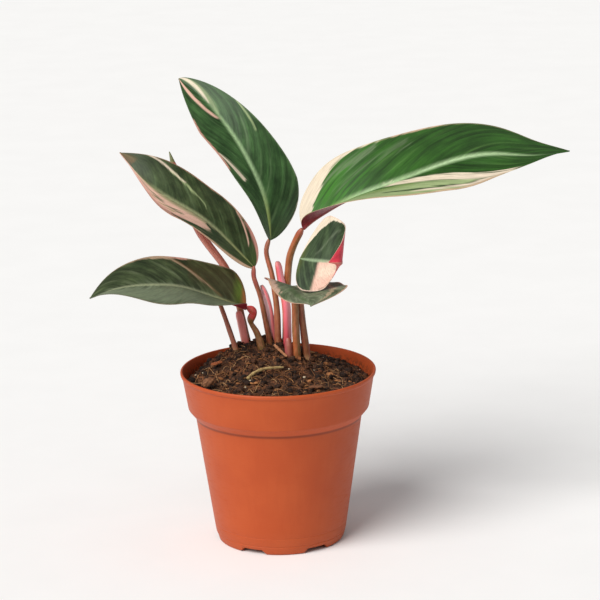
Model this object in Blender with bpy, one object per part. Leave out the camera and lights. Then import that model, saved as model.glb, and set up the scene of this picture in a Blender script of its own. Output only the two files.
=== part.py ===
"""Stromanthe house plant in a 105 mm plastic nursery pot, at rest and in one piece.

Lengths are millimetres until a mesh is made, where MM turns them into metres.
The origin is on the pot's axis, on the ground; +Z is up and -Y is the front.
Every leaf is a blade on its own stalk; the winged sheaths stand beside the stalks.
"""

import math
from dataclasses import dataclass

import bmesh
import bpy
import numpy as np

MM = 0.001

# --- pot ---------------------------------------------------------------------
RIM_RADIUS = 52.5
POT_HEIGHT = 93.5
POT_SEGMENTS = 48
FOOT_RADIUS = 33.8
FLOOR_TOP = 4.2
NOTCH_COUNT = 6
NOTCH_FIRST_DEG = -116.0  # angle of the first notch from +X; the front is at -90
NOTCH_WIDTH_DEG = 24.0
NOTCH_HEIGHT = 2.5
DRAIN_RADIUS = 3.4
DRAIN_CIRCLE = 27.5

# outer wall from the foot up, the rolled lip, then the inner wall down to the floor
POT_PROFILE = (
    (0.0, 0.0), (11.0, 0.0), (13.0, 3.0), (31.6, 3.0), (32.2, 0.0),
    (FOOT_RADIUS, 0.0), (34.3, 0.8), (35.4, 5.0), (44.7, 68.8), (47.8, 72.6),
    (48.6, 73.6), (51.5, 91.2), (52.3, 91.8), (RIM_RADIUS, 92.9), (52.1, POT_HEIGHT),
    (51.3, POT_HEIGHT), (50.4, 90.4), (47.6, 74.3), (46.7, 73.0), (43.7, 69.3),
    (34.6, 6.0), (33.6, FLOOR_TOP), (14.2, FLOOR_TOP), (12.2, 1.2), (0.0, 1.2),
)

# --- potting mix -------------------------------------------------------------
SOIL_LEVEL = 87.2
SOIL_EDGE_RADIUS = 49.2
MOUND_HEIGHT = 15.5
MOUND_CENTRE = (-9.0, 25.0)
MOUND_SPREAD = 22.0
SOIL_SIDE = (
    (11.8, 1.6), (13.7, 4.6), (33.3, 4.6), (34.2, 6.3), (43.3, 69.4), (46.3, 73.2), (47.1, 74.5),
)
SOIL_RINGS = (9.0, 17.0, 24.0, 31.0, 38.0, 44.0, SOIL_EDGE_RADIUS)
SOIL_SEGMENTS = 44
SOCKET_CLEARANCE = 0.45

# --- plant -------------------------------------------------------------------
LAMINA = 0.5  # blade thickness
MARGIN = 0.26  # blade thickness at its edge
MIDRIB_DEPTH = 0.9  # extra thickness under the midrib at the base
BASE_HALF_WIDTH = 0.9
TIP_HALF_WIDTH = 0.35
ACROSS = (0.0, 0.07, 0.38, 0.7, 1.0)  # stations from the midrib to the margin
ALONG = 18
CUP_REACH = 0.06  # share of the length over which a cupped base flattens out
SHEATH_WALL = 0.5


@dataclass(frozen=True)
class Half:
    """One side of a blade: its greatest width, where that falls, and how it folds."""

    width: float
    belly: float
    blunt: float
    taper: float
    fold: tuple
    curl: float
    cup: float = 0.0


@dataclass(frozen=True)
class Blade:
    """A leaf blade along a spine; faces are (azimuth, elevation) of its upper side."""

    name: str
    spine: tuple
    faces: tuple
    left: Half
    right: Half


@dataclass(frozen=True)
class Stalk:
    """A leaf stalk: its path, its radii and the length of its swollen joint."""

    name: str
    path: tuple
    foot: float
    top: float
    joint: float
    joint_length: float


@dataclass(frozen=True)
class Sheath:
    """A thin wing beside a stalk, curled about its path with its mouth to one side."""

    name: str
    path: tuple
    radius: float
    mouth: tuple
    flare: float = 0.0  # how much wider the wing is at its foot, as a share
    shoulder: float = 0.7  # share of the length where its top begins to close


BLADES = (
    Blade(
        "leaf_top",
        ((-3.1, 30, 157.2), (-6, 34, 178), (-13, 40, 196), (-23, 48, 213), (-36, 58, 228), (-52, 70, 240)),
        ((60, 22), (17, 34), (6, 27)),
        Half(18.0, 0.64, 0.93, 1.37, (16, 23, 13), -3),
        Half(22.5, 0.26, 0.62, 1.0, (7, 20, 15), -4),
    ),
    Blade(
        "leaf_right",
        (
            (13.5, 26.2, 164.3), (18, 25.5, 168.2), (25, 24.2, 173), (33.5, 21.8, 178.4),
            (52, 17, 187), (72, 13, 195), (93, 11, 203), (114, 9, 207), (135, 8, 206), (156, 8, 208),
        ),
        ((-59, 61), (-8, 41), (8, 2)),
        Half(24.8, 0.24, 0.9, 2.0, (37, 32, 13), 2),
        Half(23.0, 0.57, 2.35, 1.8, (40, 29, -5), 1, cup=45),
    ),
    Blade(
        "leaf_upper_left",
        ((-12, 22, 144), (-25, 26, 157), (-39, 32, 169), (-56, 40, 178), (-72, 50, 188), (-85, 60, 201)),
        ((31, 38), (40, 23), (-10, 25)),
        Half(14.2, 0.49, 2.39, 1.35, (16, 22, 6), -2),
        Half(21.7, 0.47, 1.05, 2.92, (9, 3, 18), -9),
    ),
    Blade(
        "leaf_lower_left",
        (
            (-16.5, 14.5, 123.4), (-24.7, 11.6, 127.4), (-37, 8, 133), (-52, 0, 140), (-68, -8, 143),
            (-83, -14, 143), (-98, -18, 139),
        ),
        ((-23, 64), (-10, 49), (-2, 25)),
        Half(17.4, 0.5, 2.36, 1.9, (39, 19, 14), -5, cup=40),
        Half(19.7, 0.16, 1.02, 3.04, (33, 13, 20), -7),
    ),
    Blade(
        "leaf_curled",
        (
            (12.8, 0.5, 153.8), (19, -4, 153.9), (26, -8, 154.1), (31.6, -10.5, 154.3), (34.6, -13.2, 154.5),
            (33.6, -16.6, 155.2), (27.8, -17.8, 156.2),
        ),
        ((-36, 40), (-36, 38), (-40, 31), (-90, 14), (-160, 0)),
        Half(25.3, 0.34, 1.15, 2.4, (4, 8, 6), -2),
        Half(17.4, 0.25, 2.3, 2.5, (0, 3, 56), 0),
    ),
    Blade(
        "leaf_front",
        ((8, 12, 136), (12, -2, 138), (15, -14, 138), (17, -24, 138), (18, -29, 135.5)),
        ((2, 81), (1, 77), (-10, 47)),
        Half(22.3, 0.75, 1.02, 2.17, (1, 10, -3), -8),
        Half(18.8, 0.25, 1.7, 3.18, (18, 21, -35), -4),
    ),
    Blade(
        "leaf_rear_left",
        ((-35.5, 30.5, 130), (-44, 37, 135.5), (-54.5, 45, 138), (-64.5, 52, 135.5), (-72.5, 57, 131)),
        ((-30, 60), (-30, 60), (-20, 50)),
        Half(8.0, 0.4, 1.1, 1.8, (20, 15, 5), -6),
        Half(8.0, 0.4, 1.1, 1.8, (20, 15, 5), -6),
    ),
)

# Young leaf still rolled into a spear: its axis, then (fraction of length, radius)
SPEAR_AXIS = (
    (-23.5, 41.5, 131), (-28, 44, 138.5), (-35.5, 49, 148), (-42.5, 54, 157.5),
    (-50.5, 63, 176), (-55.5, 69, 189), (-58.5, 72.8, 198.5),
)
SPEAR_RADII = ((0.0, 1.3), (0.12, 2.2), (0.4, 2.5), (0.75, 2.3), (0.9, 1.9), (1.0, 0.3))
SPEAR_SEAM = 0.14  # how far the outer wrap stands off, as a share of the radius

# each stalk from under the soil to just short of its blade: path, radius at the foot,
# radius below the joint, radius of the swollen joint and the joint's length
STALKS = (
    Stalk(
        "stalk_top",
        (
            (0.1, 20.2, 97), (0.1, 20.6, 102), (0, 21.4, 112), (-0.4, 23.6, 122.6), (-1.4, 25, 130.7),
            (-2.6, 26.6, 138.7), (-4.2, 28, 145), (-5.3, 28.8, 149.9), (-5.1, 29.3, 153.7),
            (-4.2, 29.7, 156.4),
        ),
        2, 1.3, 1.35, 7,
    ),
    Stalk(
        "stalk_right",
        (
            (4.2, 31.4, 94.4), (4.4, 31.5, 100.1), (5, 32, 120.3), (5.6, 32.3, 132.6),
            (6.5, 31.5, 142.3), (7.7, 30.3, 149.3), (9.9, 29, 155.1), (12, 27.6, 159.9),
            (13.4, 26.8, 162.5),
        ),
        2.3, 1.9, 1.95, 7,
    ),
    Stalk(
        "stalk_upper_left",
        (
            (-3.4, 23.3, 97), (-4.3, 23, 102), (-6.6, 22.3, 114.6), (-8.1, 22, 123.2), (-9.6, 21.7, 130),
            (-11.2, 21.5, 135.1), (-12.4, 21.3, 140.2), (-12.3, 21.5, 143.1),
        ),
        1.65, 1.2, 1.3, 9,
    ),
    Stalk(
        "stalk_lower_left",
        (
            (-7.7, 15.8, 96.8), (-9, 16.1, 101.8), (-12.3, 16.6, 111.2), (-14.4, 16.4, 116),
            (-13.5, 16, 118.8), (-12.9, 15.4, 121.2), (-14.6, 14.8, 123),
        ),
        2.5, 1.3, 2.1, 8,
    ),
    Stalk(
        "stalk_curled",
        (
            (16.4, 16.5, 90.1), (15.8, 16.3, 95.1), (14.7, 15.9, 104.2), (13.5, 15.9, 116),
            (12.8, 15.8, 124.4), (12.7, 15.2, 132.9), (13.1, 13.4, 139.5), (13.5, 9.4, 145.4),
            (13.8, 5, 149.6), (13.7, 2.1, 152.2),
        ),
        2.2, 1.5, 1.4, 7,
    ),
    Stalk(
        "stalk_front",
        (
            (10.2, 13.1, 91.3), (10.2, 13.2, 96.2), (10, 13.2, 105.7), (9.8, 13.3, 116.8), (9.7, 13.5, 124.5),
            (8.7, 13.8, 131.1), (8.2, 12.9, 133.9),
        ),
        2.2, 1.9, 1.7, 6,
    ),
    Stalk(
        "stalk_rear_left",
        (
            (-21, 17.7, 93.6), (-22.5, 18.1, 98.6), (-26.3, 19, 110.8), (-30, 22, 121.3),
            (-32.3, 25, 126.2), (-34.6, 28.9, 128.9),
        ),
        1.6, 1.15, 1, 6,
    ),
    Stalk(
        "stalk_spear",
        (
            (-15.4, 29.5, 95.3), (-16.9, 31, 102.3), (-19.6, 33.5, 114.1), (-21.5, 37, 122.3),
            (-22.9, 40.3, 128), (-23.35, 41.15, 130.3),
        ),
        1.6, 1.9, 1.7, 6,
    ),
)

# each sheath: path, radius of the wing's curl, direction its mouth opens
SHEATHS = (
    Sheath(
        "sheath_top",
        (
            (4, 23.6, 95.6), (4.2, 23.7, 101.2), (4.3, 23.9, 112.9), (4.1, 25.4, 122.2), (2.6, 27.9, 129.6),
            (1.2, 29.5, 135.4), (0.4, 30.5, 140.8), (0, 31.1, 145.1),
        ),
        2.5,
        (-0.985, 0.17, 0.0),
        flare=0.23,
        shoulder=0.85,
    ),
    Sheath(
        "sheath_upper_left",
        (
            (-1.8, 26.7, 96.3), (-2.5, 26.5, 101.1), (-3.7, 26.1, 109.6), (-4.4, 25.2, 116.6),
            (-5.5, 24.4, 123.6), (-7.1, 23.9, 129.9), (-8.4, 23.7, 133.6),
        ),
        1.95,
        (-0.8, -0.5, 0.0),
        flare=0.4,
        shoulder=0.6,
    ),
    Sheath(
        "sheath_spear",
        (
            (-16.8, 26.7, 96.3), (-18.2, 27, 103.4), (-19.9, 27.4, 112.4), (-21.3, 28, 118.4),
        ),
        1.9,
        (0.3, 1.0, 0.0),
    ),
    Sheath(
        "bract",
        (
            (5.7, 11.6, 93.4), (5.7, 12.2, 98.7), (5.7, 12.6, 102.5), (5.4, 13.4, 106.8),
        ),
        2.1,
        (-0.6, 0.8, 0.0),
        shoulder=0.25,
    ),
)
SHEATH_HALF_SPAN_DEG = 118.0

# --- litter on the mix -------------------------------------------------------
LITTER_LIFT = 0.8
ROOT_ARC = (
    (-16.2, -14.2, 0.0), (-13.3, -9.8, 0.4), (-8.5, -7.0, 0.7), (-3.0, -5.0, 0.6), (3.2, -3.0, 0.2),
)
ROOT_RADIUS = 0.95
DRY_STEM = ((-1.9, 14.0, 1.0), (1.2, 11.2, 0.6), (4.9, 7.4, 0.0))
DRY_STEM_RADIUS = 0.8
LEAF_SCRAP = ((-39.5, -21.0, 0.0), (-36.5, -19.0, 1.4), (-33.0, -16.5, 0.2))
SCRAP_RADII = (1.0, 1.9, 2.3, 2.4, 2.2, 1.7, 0.8)
SCRAP_WALL = 0.45
SCRAP_RISE = 1.3
# name, place, turn in degrees, (half length, half width, height)
CHIPS = (
    ("bark_chip_left", (-33.0, 4.0), 30.0, (3.4, 1.7, 1.2)),
    ("bark_chip_front", (20.0, -24.0), -20.0, (3.8, 2.2, 1.2)),
)
CHIP_OUTLINE = ((-1, -0.5), (-0.6, -1), (0.5, -0.9), (1, -0.3), (0.8, 0.7), (-0.2, 1), (-0.9, 0.6))
CHIP_LAYERS = ((0.0, 0.82), (0.45, 1.0), (1.0, 0.7))  # (share of the height, scale of the outline)
CHIP_TILT = 0.12


# --- curves ------------------------------------------------------------------
def natural_spline(knots, values, at):
    """Natural cubic spline through values at knots, read at the places in at."""
    knots = np.asarray(knots, float)
    values = np.asarray(values, float)
    at = np.asarray(at, float)
    count = len(knots)
    step = np.diff(knots)
    matrix = np.eye(count)
    right = np.zeros_like(values)
    slope = np.diff(values, axis=0) / step.reshape((-1,) + (1,) * (values.ndim - 1))
    for i in range(1, count - 1):
        matrix[i, i - 1 : i + 2] = step[i - 1], 2 * (step[i - 1] + step[i]), step[i]
        right[i] = 6 * (slope[i] - slope[i - 1])
    bend = np.linalg.solve(matrix, right)
    i = np.clip(np.searchsorted(knots, at) - 1, 0, count - 2)
    shape = (-1,) + (1,) * (values.ndim - 1)
    h = step[i].reshape(shape)
    a = (knots[i + 1] - at).reshape(shape) / h
    b = (at - knots[i]).reshape(shape) / h
    curve = ((a**3 - a) * bend[i] + (b**3 - b) * bend[i + 1]) * h**2 / 6
    return a * values[i] + b * values[i + 1] + curve


def unit(vectors):
    """The vectors at length one."""
    return vectors / np.maximum(np.linalg.norm(vectors, axis=-1, keepdims=True), 1e-12)


def smooth_path(points, at):
    """Points and directions at even shares of a smooth curve's length."""
    points = np.asarray(points, float)
    chord = np.r_[0, np.cumsum(np.linalg.norm(np.diff(points, axis=0), axis=1))]
    fine = natural_spline(chord, points, np.linspace(0, chord[-1], 400))
    length = np.r_[0, np.cumsum(np.linalg.norm(np.diff(fine, axis=0), axis=1))]
    wanted = np.asarray(at) * length[-1]
    path = np.stack([np.interp(wanted, length, fine[:, k]) for k in range(3)], 1)
    tangent = np.gradient(fine, length, axis=0)
    direction = np.stack([np.interp(wanted, length, tangent[:, k]) for k in range(3)], 1)
    return path, unit(direction)


def frames_along(path, direction, first):
    """Two directions across the path at each point, turning no more than they must."""
    side = np.asarray(first, float)
    across = []
    for tangent in direction:
        side = side - (side @ tangent) * tangent
        side = side / np.linalg.norm(side)
        across.append(side)
    across = np.array(across)
    return across, np.cross(direction, across)


# --- mesh helpers ------------------------------------------------------------
def material(name, colour, roughness):
    """A Principled material of one colour."""
    made = bpy.data.materials.new(name)
    made.use_nodes = True
    shader = made.node_tree.nodes["Principled BSDF"]
    shader.inputs["Base Color"].default_value = (*colour, 1.0)
    shader.inputs["Roughness"].default_value = roughness
    made.diffuse_color = (*colour, 1.0)
    return made


def add_object(name, points, faces, colour, roughness=0.5, helper=False):
    """A mesh object in metres with its faces outwards; a helper is a hidden cutter."""
    mesh = bpy.data.meshes.new(name)
    mesh.from_pydata([tuple(float(c) * MM for c in p) for p in points], [], faces)
    made = bpy.data.objects.new(name, mesh)
    bpy.context.scene.collection.objects.link(made)
    shell = bmesh.new()
    shell.from_mesh(mesh)
    bmesh.ops.recalc_face_normals(shell, faces=shell.faces)
    if shell.calc_volume(signed=True) < 0:
        bmesh.ops.reverse_faces(shell, faces=shell.faces)
    shell.to_mesh(mesh)
    shell.free()
    if helper:
        made.hide_render = True
        made.display_type = "WIRE"
    else:
        mesh.materials.append(material(name, colour, roughness))
    return made


def loft(rings, closed_ends=True):
    """Faces that join equal rings of points into one closed skin."""
    count = len(rings[0])
    points = [p for ring in rings for p in ring]
    faces = []
    for i in range(len(rings) - 1):
        for j in range(count):
            k = (j + 1) % count
            low, high = i * count, (i + 1) * count
            faces.append((low + j, low + k, high + k, high + j))
    if closed_ends:
        faces.append(tuple(range(count)))
        faces.append(tuple(range((len(rings) - 1) * count, len(rings) * count)))
    return points, faces


def flat_ends(faces, last, columns):
    """Closes both ends of a folded-flat skin: its outer and inner rows, ring 0 and ring last."""
    for start in (0, last * columns):
        for j in range(columns // 2 - 1):
            back = start + columns - 1 - j
            faces.append((start + j, start + j + 1, back - 1, back))


def cut(target, cutter):
    """Takes a helper's solid away from the target."""
    modifier = target.modifiers.new("cut_" + cutter.name, "BOOLEAN")
    modifier.operation = "DIFFERENCE"
    modifier.solver = "EXACT"
    modifier.object = cutter


def revolve(profile, segments):
    """Points and faces of a profile turned about Z; its first and last points are on the axis."""
    points = [(0.0, 0.0, profile[0][1])]
    rings = []
    for radius, height in profile[1:-1]:
        start = len(points)
        for k in range(segments):
            turn = 2 * math.pi * k / segments
            points.append((radius * math.cos(turn), radius * math.sin(turn), height))
        rings.append([start + k for k in range(segments)])
    points.append((0.0, 0.0, profile[-1][1]))
    last = len(points) - 1
    faces = []
    for k in range(segments):
        n = (k + 1) % segments
        faces.append((0, rings[0][n], rings[0][k]))
        for low, high in zip(rings, rings[1:]):
            faces.append((low[k], low[n], high[n], high[k]))
        faces.append((rings[-1][k], rings[-1][n], last))
    return points, faces


# --- pot and potting mix -----------------------------------------------------
def drain_notch(index):
    """Cutter for one slope-sided drainage notch under the foot ring."""
    centre = math.radians(NOTCH_FIRST_DEG + index * 360.0 / NOTCH_COUNT)
    points = []
    for radius in (29.5, 37.5):
        for height, share in ((-1.0, 1.14), (NOTCH_HEIGHT, 0.72)):
            for side in (-0.5, 0.5):
                turn = centre + side * share * math.radians(NOTCH_WIDTH_DEG)
                points.append((radius * math.cos(turn), radius * math.sin(turn), height))
    faces = [(0, 1, 3, 2), (4, 6, 7, 5), (0, 4, 5, 1), (2, 3, 7, 6), (0, 2, 6, 4), (1, 5, 7, 3)]
    return add_object(f"notch_cutter_{index}", points, faces, None, helper=True)


def drain_hole(index):
    """Cutter for the round drain hole in the floor beside one notch."""
    centre = math.radians(NOTCH_FIRST_DEG + index * 360.0 / NOTCH_COUNT)
    x, y = DRAIN_CIRCLE * math.cos(centre), DRAIN_CIRCLE * math.sin(centre)
    rings = []
    for height in (1.5, FLOOR_TOP + 1.5):
        turns = [2 * math.pi * k / 14 for k in range(14)]
        ring = [(x + DRAIN_RADIUS * math.cos(t), y + DRAIN_RADIUS * math.sin(t)) for t in turns]
        rings.append([(*point, height) for point in ring])
    points, faces = loft(rings)
    return add_object(f"drain_cutter_{index}", points, faces, None, helper=True)


def build_pot():
    """The turned pot with its drainage notches and holes cut out."""
    points, faces = revolve(POT_PROFILE, POT_SEGMENTS)
    pot = add_object("pot", points, faces, (0.52, 0.115, 0.045), 0.5)
    for index in range(NOTCH_COUNT):
        cut(pot, drain_notch(index))
        cut(pot, drain_hole(index))


def soil_height(x, y):
    """Height of the potting mix: level at the wall, mounded round the stalks."""
    from_centre = (x - MOUND_CENTRE[0]) ** 2 + (y - MOUND_CENTRE[1]) ** 2
    mound = MOUND_HEIGHT * math.exp(-from_centre / (2 * MOUND_SPREAD**2))
    edge = 1 - min(1.0, math.hypot(x, y) / SOIL_EDGE_RADIUS) ** 8
    ripple = 0.6 * math.sin(0.45 * x + 1.3) * math.sin(0.38 * y + 0.4)
    ripple += 0.35 * math.sin(0.9 * x + 0.7 * y)
    return SOIL_LEVEL + (mound + ripple) * edge


def build_soil():
    """The potting mix, from the pot's floor up to its mounded top."""
    profile = [(0.0, 1.6), *SOIL_SIDE]
    points = [(0.0, 0.0, profile[0][1])]
    rings = []
    turns = [2 * math.pi * k / SOIL_SEGMENTS for k in range(SOIL_SEGMENTS)]
    for radius, height in profile[1:]:
        rings.append([(radius * math.cos(t), radius * math.sin(t), height) for t in turns])
    for radius in reversed(SOIL_RINGS):
        ring = [(radius * math.cos(t), radius * math.sin(t)) for t in turns]
        rings.append([(x, y, soil_height(x, y)) for x, y in ring])
    skin, faces = loft(rings, closed_ends=False)
    faces = [tuple(i + 1 for i in face) for face in faces]
    points += skin
    points.append((0.0, 0.0, soil_height(0.0, 0.0)))
    top = len(points) - 1
    first_top = 1 + (len(rings) - 1) * SOIL_SEGMENTS
    for k in range(SOIL_SEGMENTS):
        n = (k + 1) % SOIL_SEGMENTS
        faces.append((0, 1 + n, 1 + k))
        faces.append((first_top + k, first_top + n, top))
    return add_object("potting_mix", points, faces, (0.035, 0.018, 0.010), 0.95)


# --- leaves ------------------------------------------------------------------
def half_width(half, share):
    """Half width of a blade at shares of its length: round base, drawn-out tip."""
    low = (1 - np.clip(1 - share / half.belly, 0, 1) ** 2.2) ** 0.55
    past = np.clip((share - half.belly) / (1 - half.belly), 0, 1)
    high = (1 - past**half.taper) ** half.blunt
    floor = BASE_HALF_WIDTH + (TIP_HALF_WIDTH - BASE_HALF_WIDTH) * share
    return np.maximum(half.width * np.where(share < half.belly, low, high), floor)


def directions(angles):
    """Unit vectors from (azimuth, elevation); azimuth 0 faces -Y and 90 faces +X."""
    turn, rise = np.radians(np.asarray(angles, float)).T
    return np.stack([np.cos(rise) * np.sin(turn), -np.cos(rise) * np.cos(turn), np.sin(rise)], 1)


def blade_surface(blade, along, across):
    """Grid of points on the blade's middle surface, from its left margin to its right."""
    share = np.linspace(0, 1, along + 1)
    path, tangent = smooth_path(blade.spine, share)
    knots = np.linspace(0, 1, len(blade.faces))
    facing = unit(natural_spline(knots, directions(blade.faces), share))
    normal = unit(facing - (facing * tangent).sum(1, keepdims=True) * tangent)
    side = np.cross(normal, tangent)
    columns = {0: path}
    for sign, half in ((1, blade.left), (-1, blade.right)):
        width = half_width(half, share)
        fold = natural_spline((0, 0.5, 1), half.fold, share)
        fold = np.radians(fold + half.cup * np.exp(-share / CUP_REACH))
        curl = math.radians(half.curl) * np.sin(math.pi * share)
        point = path
        for k in range(1, len(across)):
            steps = 4
            for j in range(steps):
                t = across[k - 1] + (across[k] - across[k - 1]) * (j + 0.5) / steps
                angle = (fold + curl * t)[:, None]
                reach = (width * (across[k] - across[k - 1]) / steps)[:, None]
                point = point + (sign * side * np.cos(angle) + normal * np.sin(angle)) * reach
            columns[-sign * k] = point
    order = range(-len(across) + 1, len(across))
    return np.stack([columns[k] for k in order], 1)


def surface_normals(grid):
    """Unit normals of a grid of points, towards the blade's upper side."""
    along = np.gradient(grid, axis=0)
    across = np.gradient(grid, axis=1)
    return unit(np.cross(across, along))


def build_blade(blade):
    """A blade with its thickness, its thinner margin and the midrib standing out below."""
    grid = blade_surface(blade, ALONG, ACROSS)
    normal = surface_normals(grid)
    middle = len(ACROSS) - 1
    share = np.linspace(0, 1, ALONG + 1)
    thick = np.full(grid.shape[:2], LAMINA)
    thick[:, 0] = thick[:, -1] = MARGIN
    under = thick / 2
    under[:, middle] += MIDRIB_DEPTH * (1 - share) ** 0.6
    upper = grid + normal * (thick / 2)[..., None]
    lower = grid - normal * under[..., None]
    rings = [np.concatenate([u, low[::-1]]) for u, low in zip(upper, lower)]
    points, faces = loft(rings, closed_ends=False)
    flat_ends(faces, ALONG, 2 * grid.shape[1])
    add_object(blade.name, points, faces, (0.055, 0.125, 0.035), 0.4)


def tube(path, radii, sides, first, seam=0.0):
    """Closed round tube along a path; seam makes its skin overlap like a scroll."""
    share = np.linspace(0, 1, len(path[0]))
    across, up = frames_along(path[0], path[1], first)
    radius = np.interp(share, [r[0] for r in radii], [r[1] for r in radii])
    rings = []
    for point, a, b, r in zip(path[0], across, up, radius):
        ring = []
        for k in range(sides):
            turn = 2 * math.pi * k / sides
            reach = r * (1 - seam * k / sides)
            ring.append(point + (a * math.cos(turn) + b * math.sin(turn)) * reach)
        rings.append(ring)
    return loft(rings)


def build_stalk(stalk, soil):
    """A stalk that narrows upwards to its swollen joint, and its socket in the mix."""
    path = smooth_path(stalk.path, np.linspace(0, 1, 17))
    length = np.linalg.norm(np.diff(path[0], axis=0), axis=1).sum()
    swell = 1 - stalk.joint_length / length
    radii = (
        (0.0, stalk.foot),
        (swell - 0.06, stalk.top),
        (swell + 0.03, stalk.joint),
        (0.96, stalk.joint),
        (1.0, stalk.joint * 0.8),
    )
    skin = tube(path, radii, 8, (1, 0, 0))
    add_object(stalk.name, *skin, (0.30, 0.115, 0.055), 0.45)
    socket = smooth_path(stalk.path, np.linspace(0, 0.3, 4))
    below = socket[0][0] - socket[1][0] * SOCKET_CLEARANCE
    socket = (np.vstack([below, socket[0][1:]]), socket[1])
    wide = stalk.foot + SOCKET_CLEARANCE
    hole = tube(socket, ((0.0, wide), (1.0, wide)), 10, (1, 0, 0))
    cut(soil, add_object("socket_" + stalk.name, *hole, None, helper=True))


def crescent(centre, mouth, other, radius, wall):
    """Cross-section of a sheath's wing: an arc with its mouth towards the stalk."""
    half = math.radians(SHEATH_HALF_SPAN_DEG)
    turns = [math.pi - half + 2 * half * k / 6 for k in range(7)]
    ring = []
    for sign, order in ((1, turns), (-1, turns[::-1])):
        for turn in order:
            edge = 0.5 if turn in (turns[0], turns[-1]) else 1.0
            reach = radius + sign * edge * wall / 2
            ring.append(centre + (mouth * math.cos(turn) + other * math.sin(turn)) * reach)
    return ring


def build_sheath(sheath, soil):
    """A sheath's curled wing, closing at its top, and its socket in the mix."""
    share = np.array([0.0, 0.2, 0.45, 0.7, 0.88, 0.96, 1.0])
    path, direction = smooth_path(sheath.path, share)
    across, up = frames_along(path, direction, sheath.mouth)
    closing = [sheath.shoulder + part * (1 - sheath.shoulder) for part in (0, 0.6, 0.87, 1)]
    scale = np.interp(share, closing, (1, 0.95, 0.75, 0.45)) * (1 + sheath.flare * (1 - share))
    rings = []
    for point, a, b, size in zip(path, across, up, scale):
        rings.append(crescent(point, a, b, sheath.radius * size, SHEATH_WALL))
    skin = loft(rings, closed_ends=False)
    flat_ends(skin[1], len(rings) - 1, len(rings[0]))
    add_object(sheath.name, *skin, (0.62, 0.20, 0.17), 0.45)
    low = (path[0] - direction[0] * SOCKET_CLEARANCE, path[0] + direction[0] * 10.0)
    wide = sheath.radius * (1 + sheath.flare) + SHEATH_WALL / 2 + SOCKET_CLEARANCE
    hole = tube((np.array(low), direction[[0, 0]]), ((0.0, wide), (1.0, wide)), 12, sheath.mouth)
    cut(soil, add_object("socket_" + sheath.name, *hole, None, helper=True))


def build_spear():
    """The young leaf, rolled about its axis with one edge lapping the other."""
    path = smooth_path(SPEAR_AXIS, np.linspace(0, 1, 14))
    skin = tube(path, SPEAR_RADII, 12, (0, -1, 0), SPEAR_SEAM)
    add_object("leaf_spear", *skin, (0.36, 0.12, 0.09), 0.45)


# --- litter ------------------------------------------------------------------
def on_soil(points, radius):
    """Points (x, y, lift) set on the mix, for a strand of this radius."""
    return [(x, y, soil_height(x, y) + radius + LITTER_LIFT + lift) for x, y, lift in points]


def build_strand(name, points, radius, colour):
    """A bare root or stem lying on the mix."""
    path = smooth_path(on_soil(points, radius), np.linspace(0, 1, 10))
    skin = tube(path, ((0.0, radius), (1.0, radius * 0.8)), 6, (0, 0, 1))
    add_object(name, *skin, colour, 0.8)


def build_scrap():
    """A dry scrap of leaf, curled along its length."""
    path, direction = smooth_path(on_soil(LEAF_SCRAP, SCRAP_RISE), np.linspace(0, 1, 7))
    path = path + (0.0, 0.0, SCRAP_RISE)
    across, up = frames_along(path, direction, (0, 0, -1))
    rings = []
    for point, a, b, radius in zip(path, across, up, SCRAP_RADII):
        rings.append(crescent(point, a, b, radius, SCRAP_WALL))
    skin = loft(rings, closed_ends=False)
    flat_ends(skin[1], len(rings) - 1, len(rings[0]))
    add_object("leaf_scrap", *skin, (0.30, 0.15, 0.07), 0.85)


def build_chip(name, place, turn, size):
    """A flake of bark lying on the mix."""
    x, y = place
    long, wide, tall = size
    c, s = math.cos(math.radians(turn)), math.sin(math.radians(turn))
    near = (-3.5, 0, 3.5)
    base = max(soil_height(x + dx, y + dy) for dx in near for dy in near) + LITTER_LIFT
    rings = []
    for height, grow in CHIP_LAYERS:
        ring = []
        for u, v in CHIP_OUTLINE:
            px, py = u * long * grow, v * wide * grow
            lift = base + 0.5 + height * tall + CHIP_TILT * px
            ring.append((x + c * px - s * py, y + s * px + c * py, lift))
        rings.append(ring)
    add_object(name, *loft(rings), (0.22, 0.09, 0.035), 0.85)


def build_litter():
    """The loose bits lying on the mix."""
    build_strand("root_arc", ROOT_ARC, ROOT_RADIUS, (0.42, 0.24, 0.12))
    build_strand("dry_stem_bit", DRY_STEM, DRY_STEM_RADIUS, (0.40, 0.25, 0.13))
    build_scrap()
    for name, place, turn, size in CHIPS:
        build_chip(name, place, turn, size)


def main():
    """Clears the scene and builds every piece."""
    for old in list(bpy.data.objects):
        bpy.data.objects.remove(old, do_unlink=True)
    build_pot()
    soil = build_soil()
    for blade in BLADES:
        build_blade(blade)
    build_spear()
    for stalk in STALKS:
        build_stalk(stalk, soil)
    for sheath in SHEATHS:
        build_sheath(sheath, soil)
    build_litter()


main()
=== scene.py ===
"""Looks of a young tricolour stromanthe in its nursery pot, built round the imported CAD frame.

Lengths are in millimetres until a mesh is made. The pot's foot stands at the origin, +Z is up
and -Y is the front.
"""

import logging
import math
from dataclasses import dataclass, field
from enum import Enum
from typing import Sequence

import bmesh
import bpy
import numpy as np
from mathutils import Matrix, Vector


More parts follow.
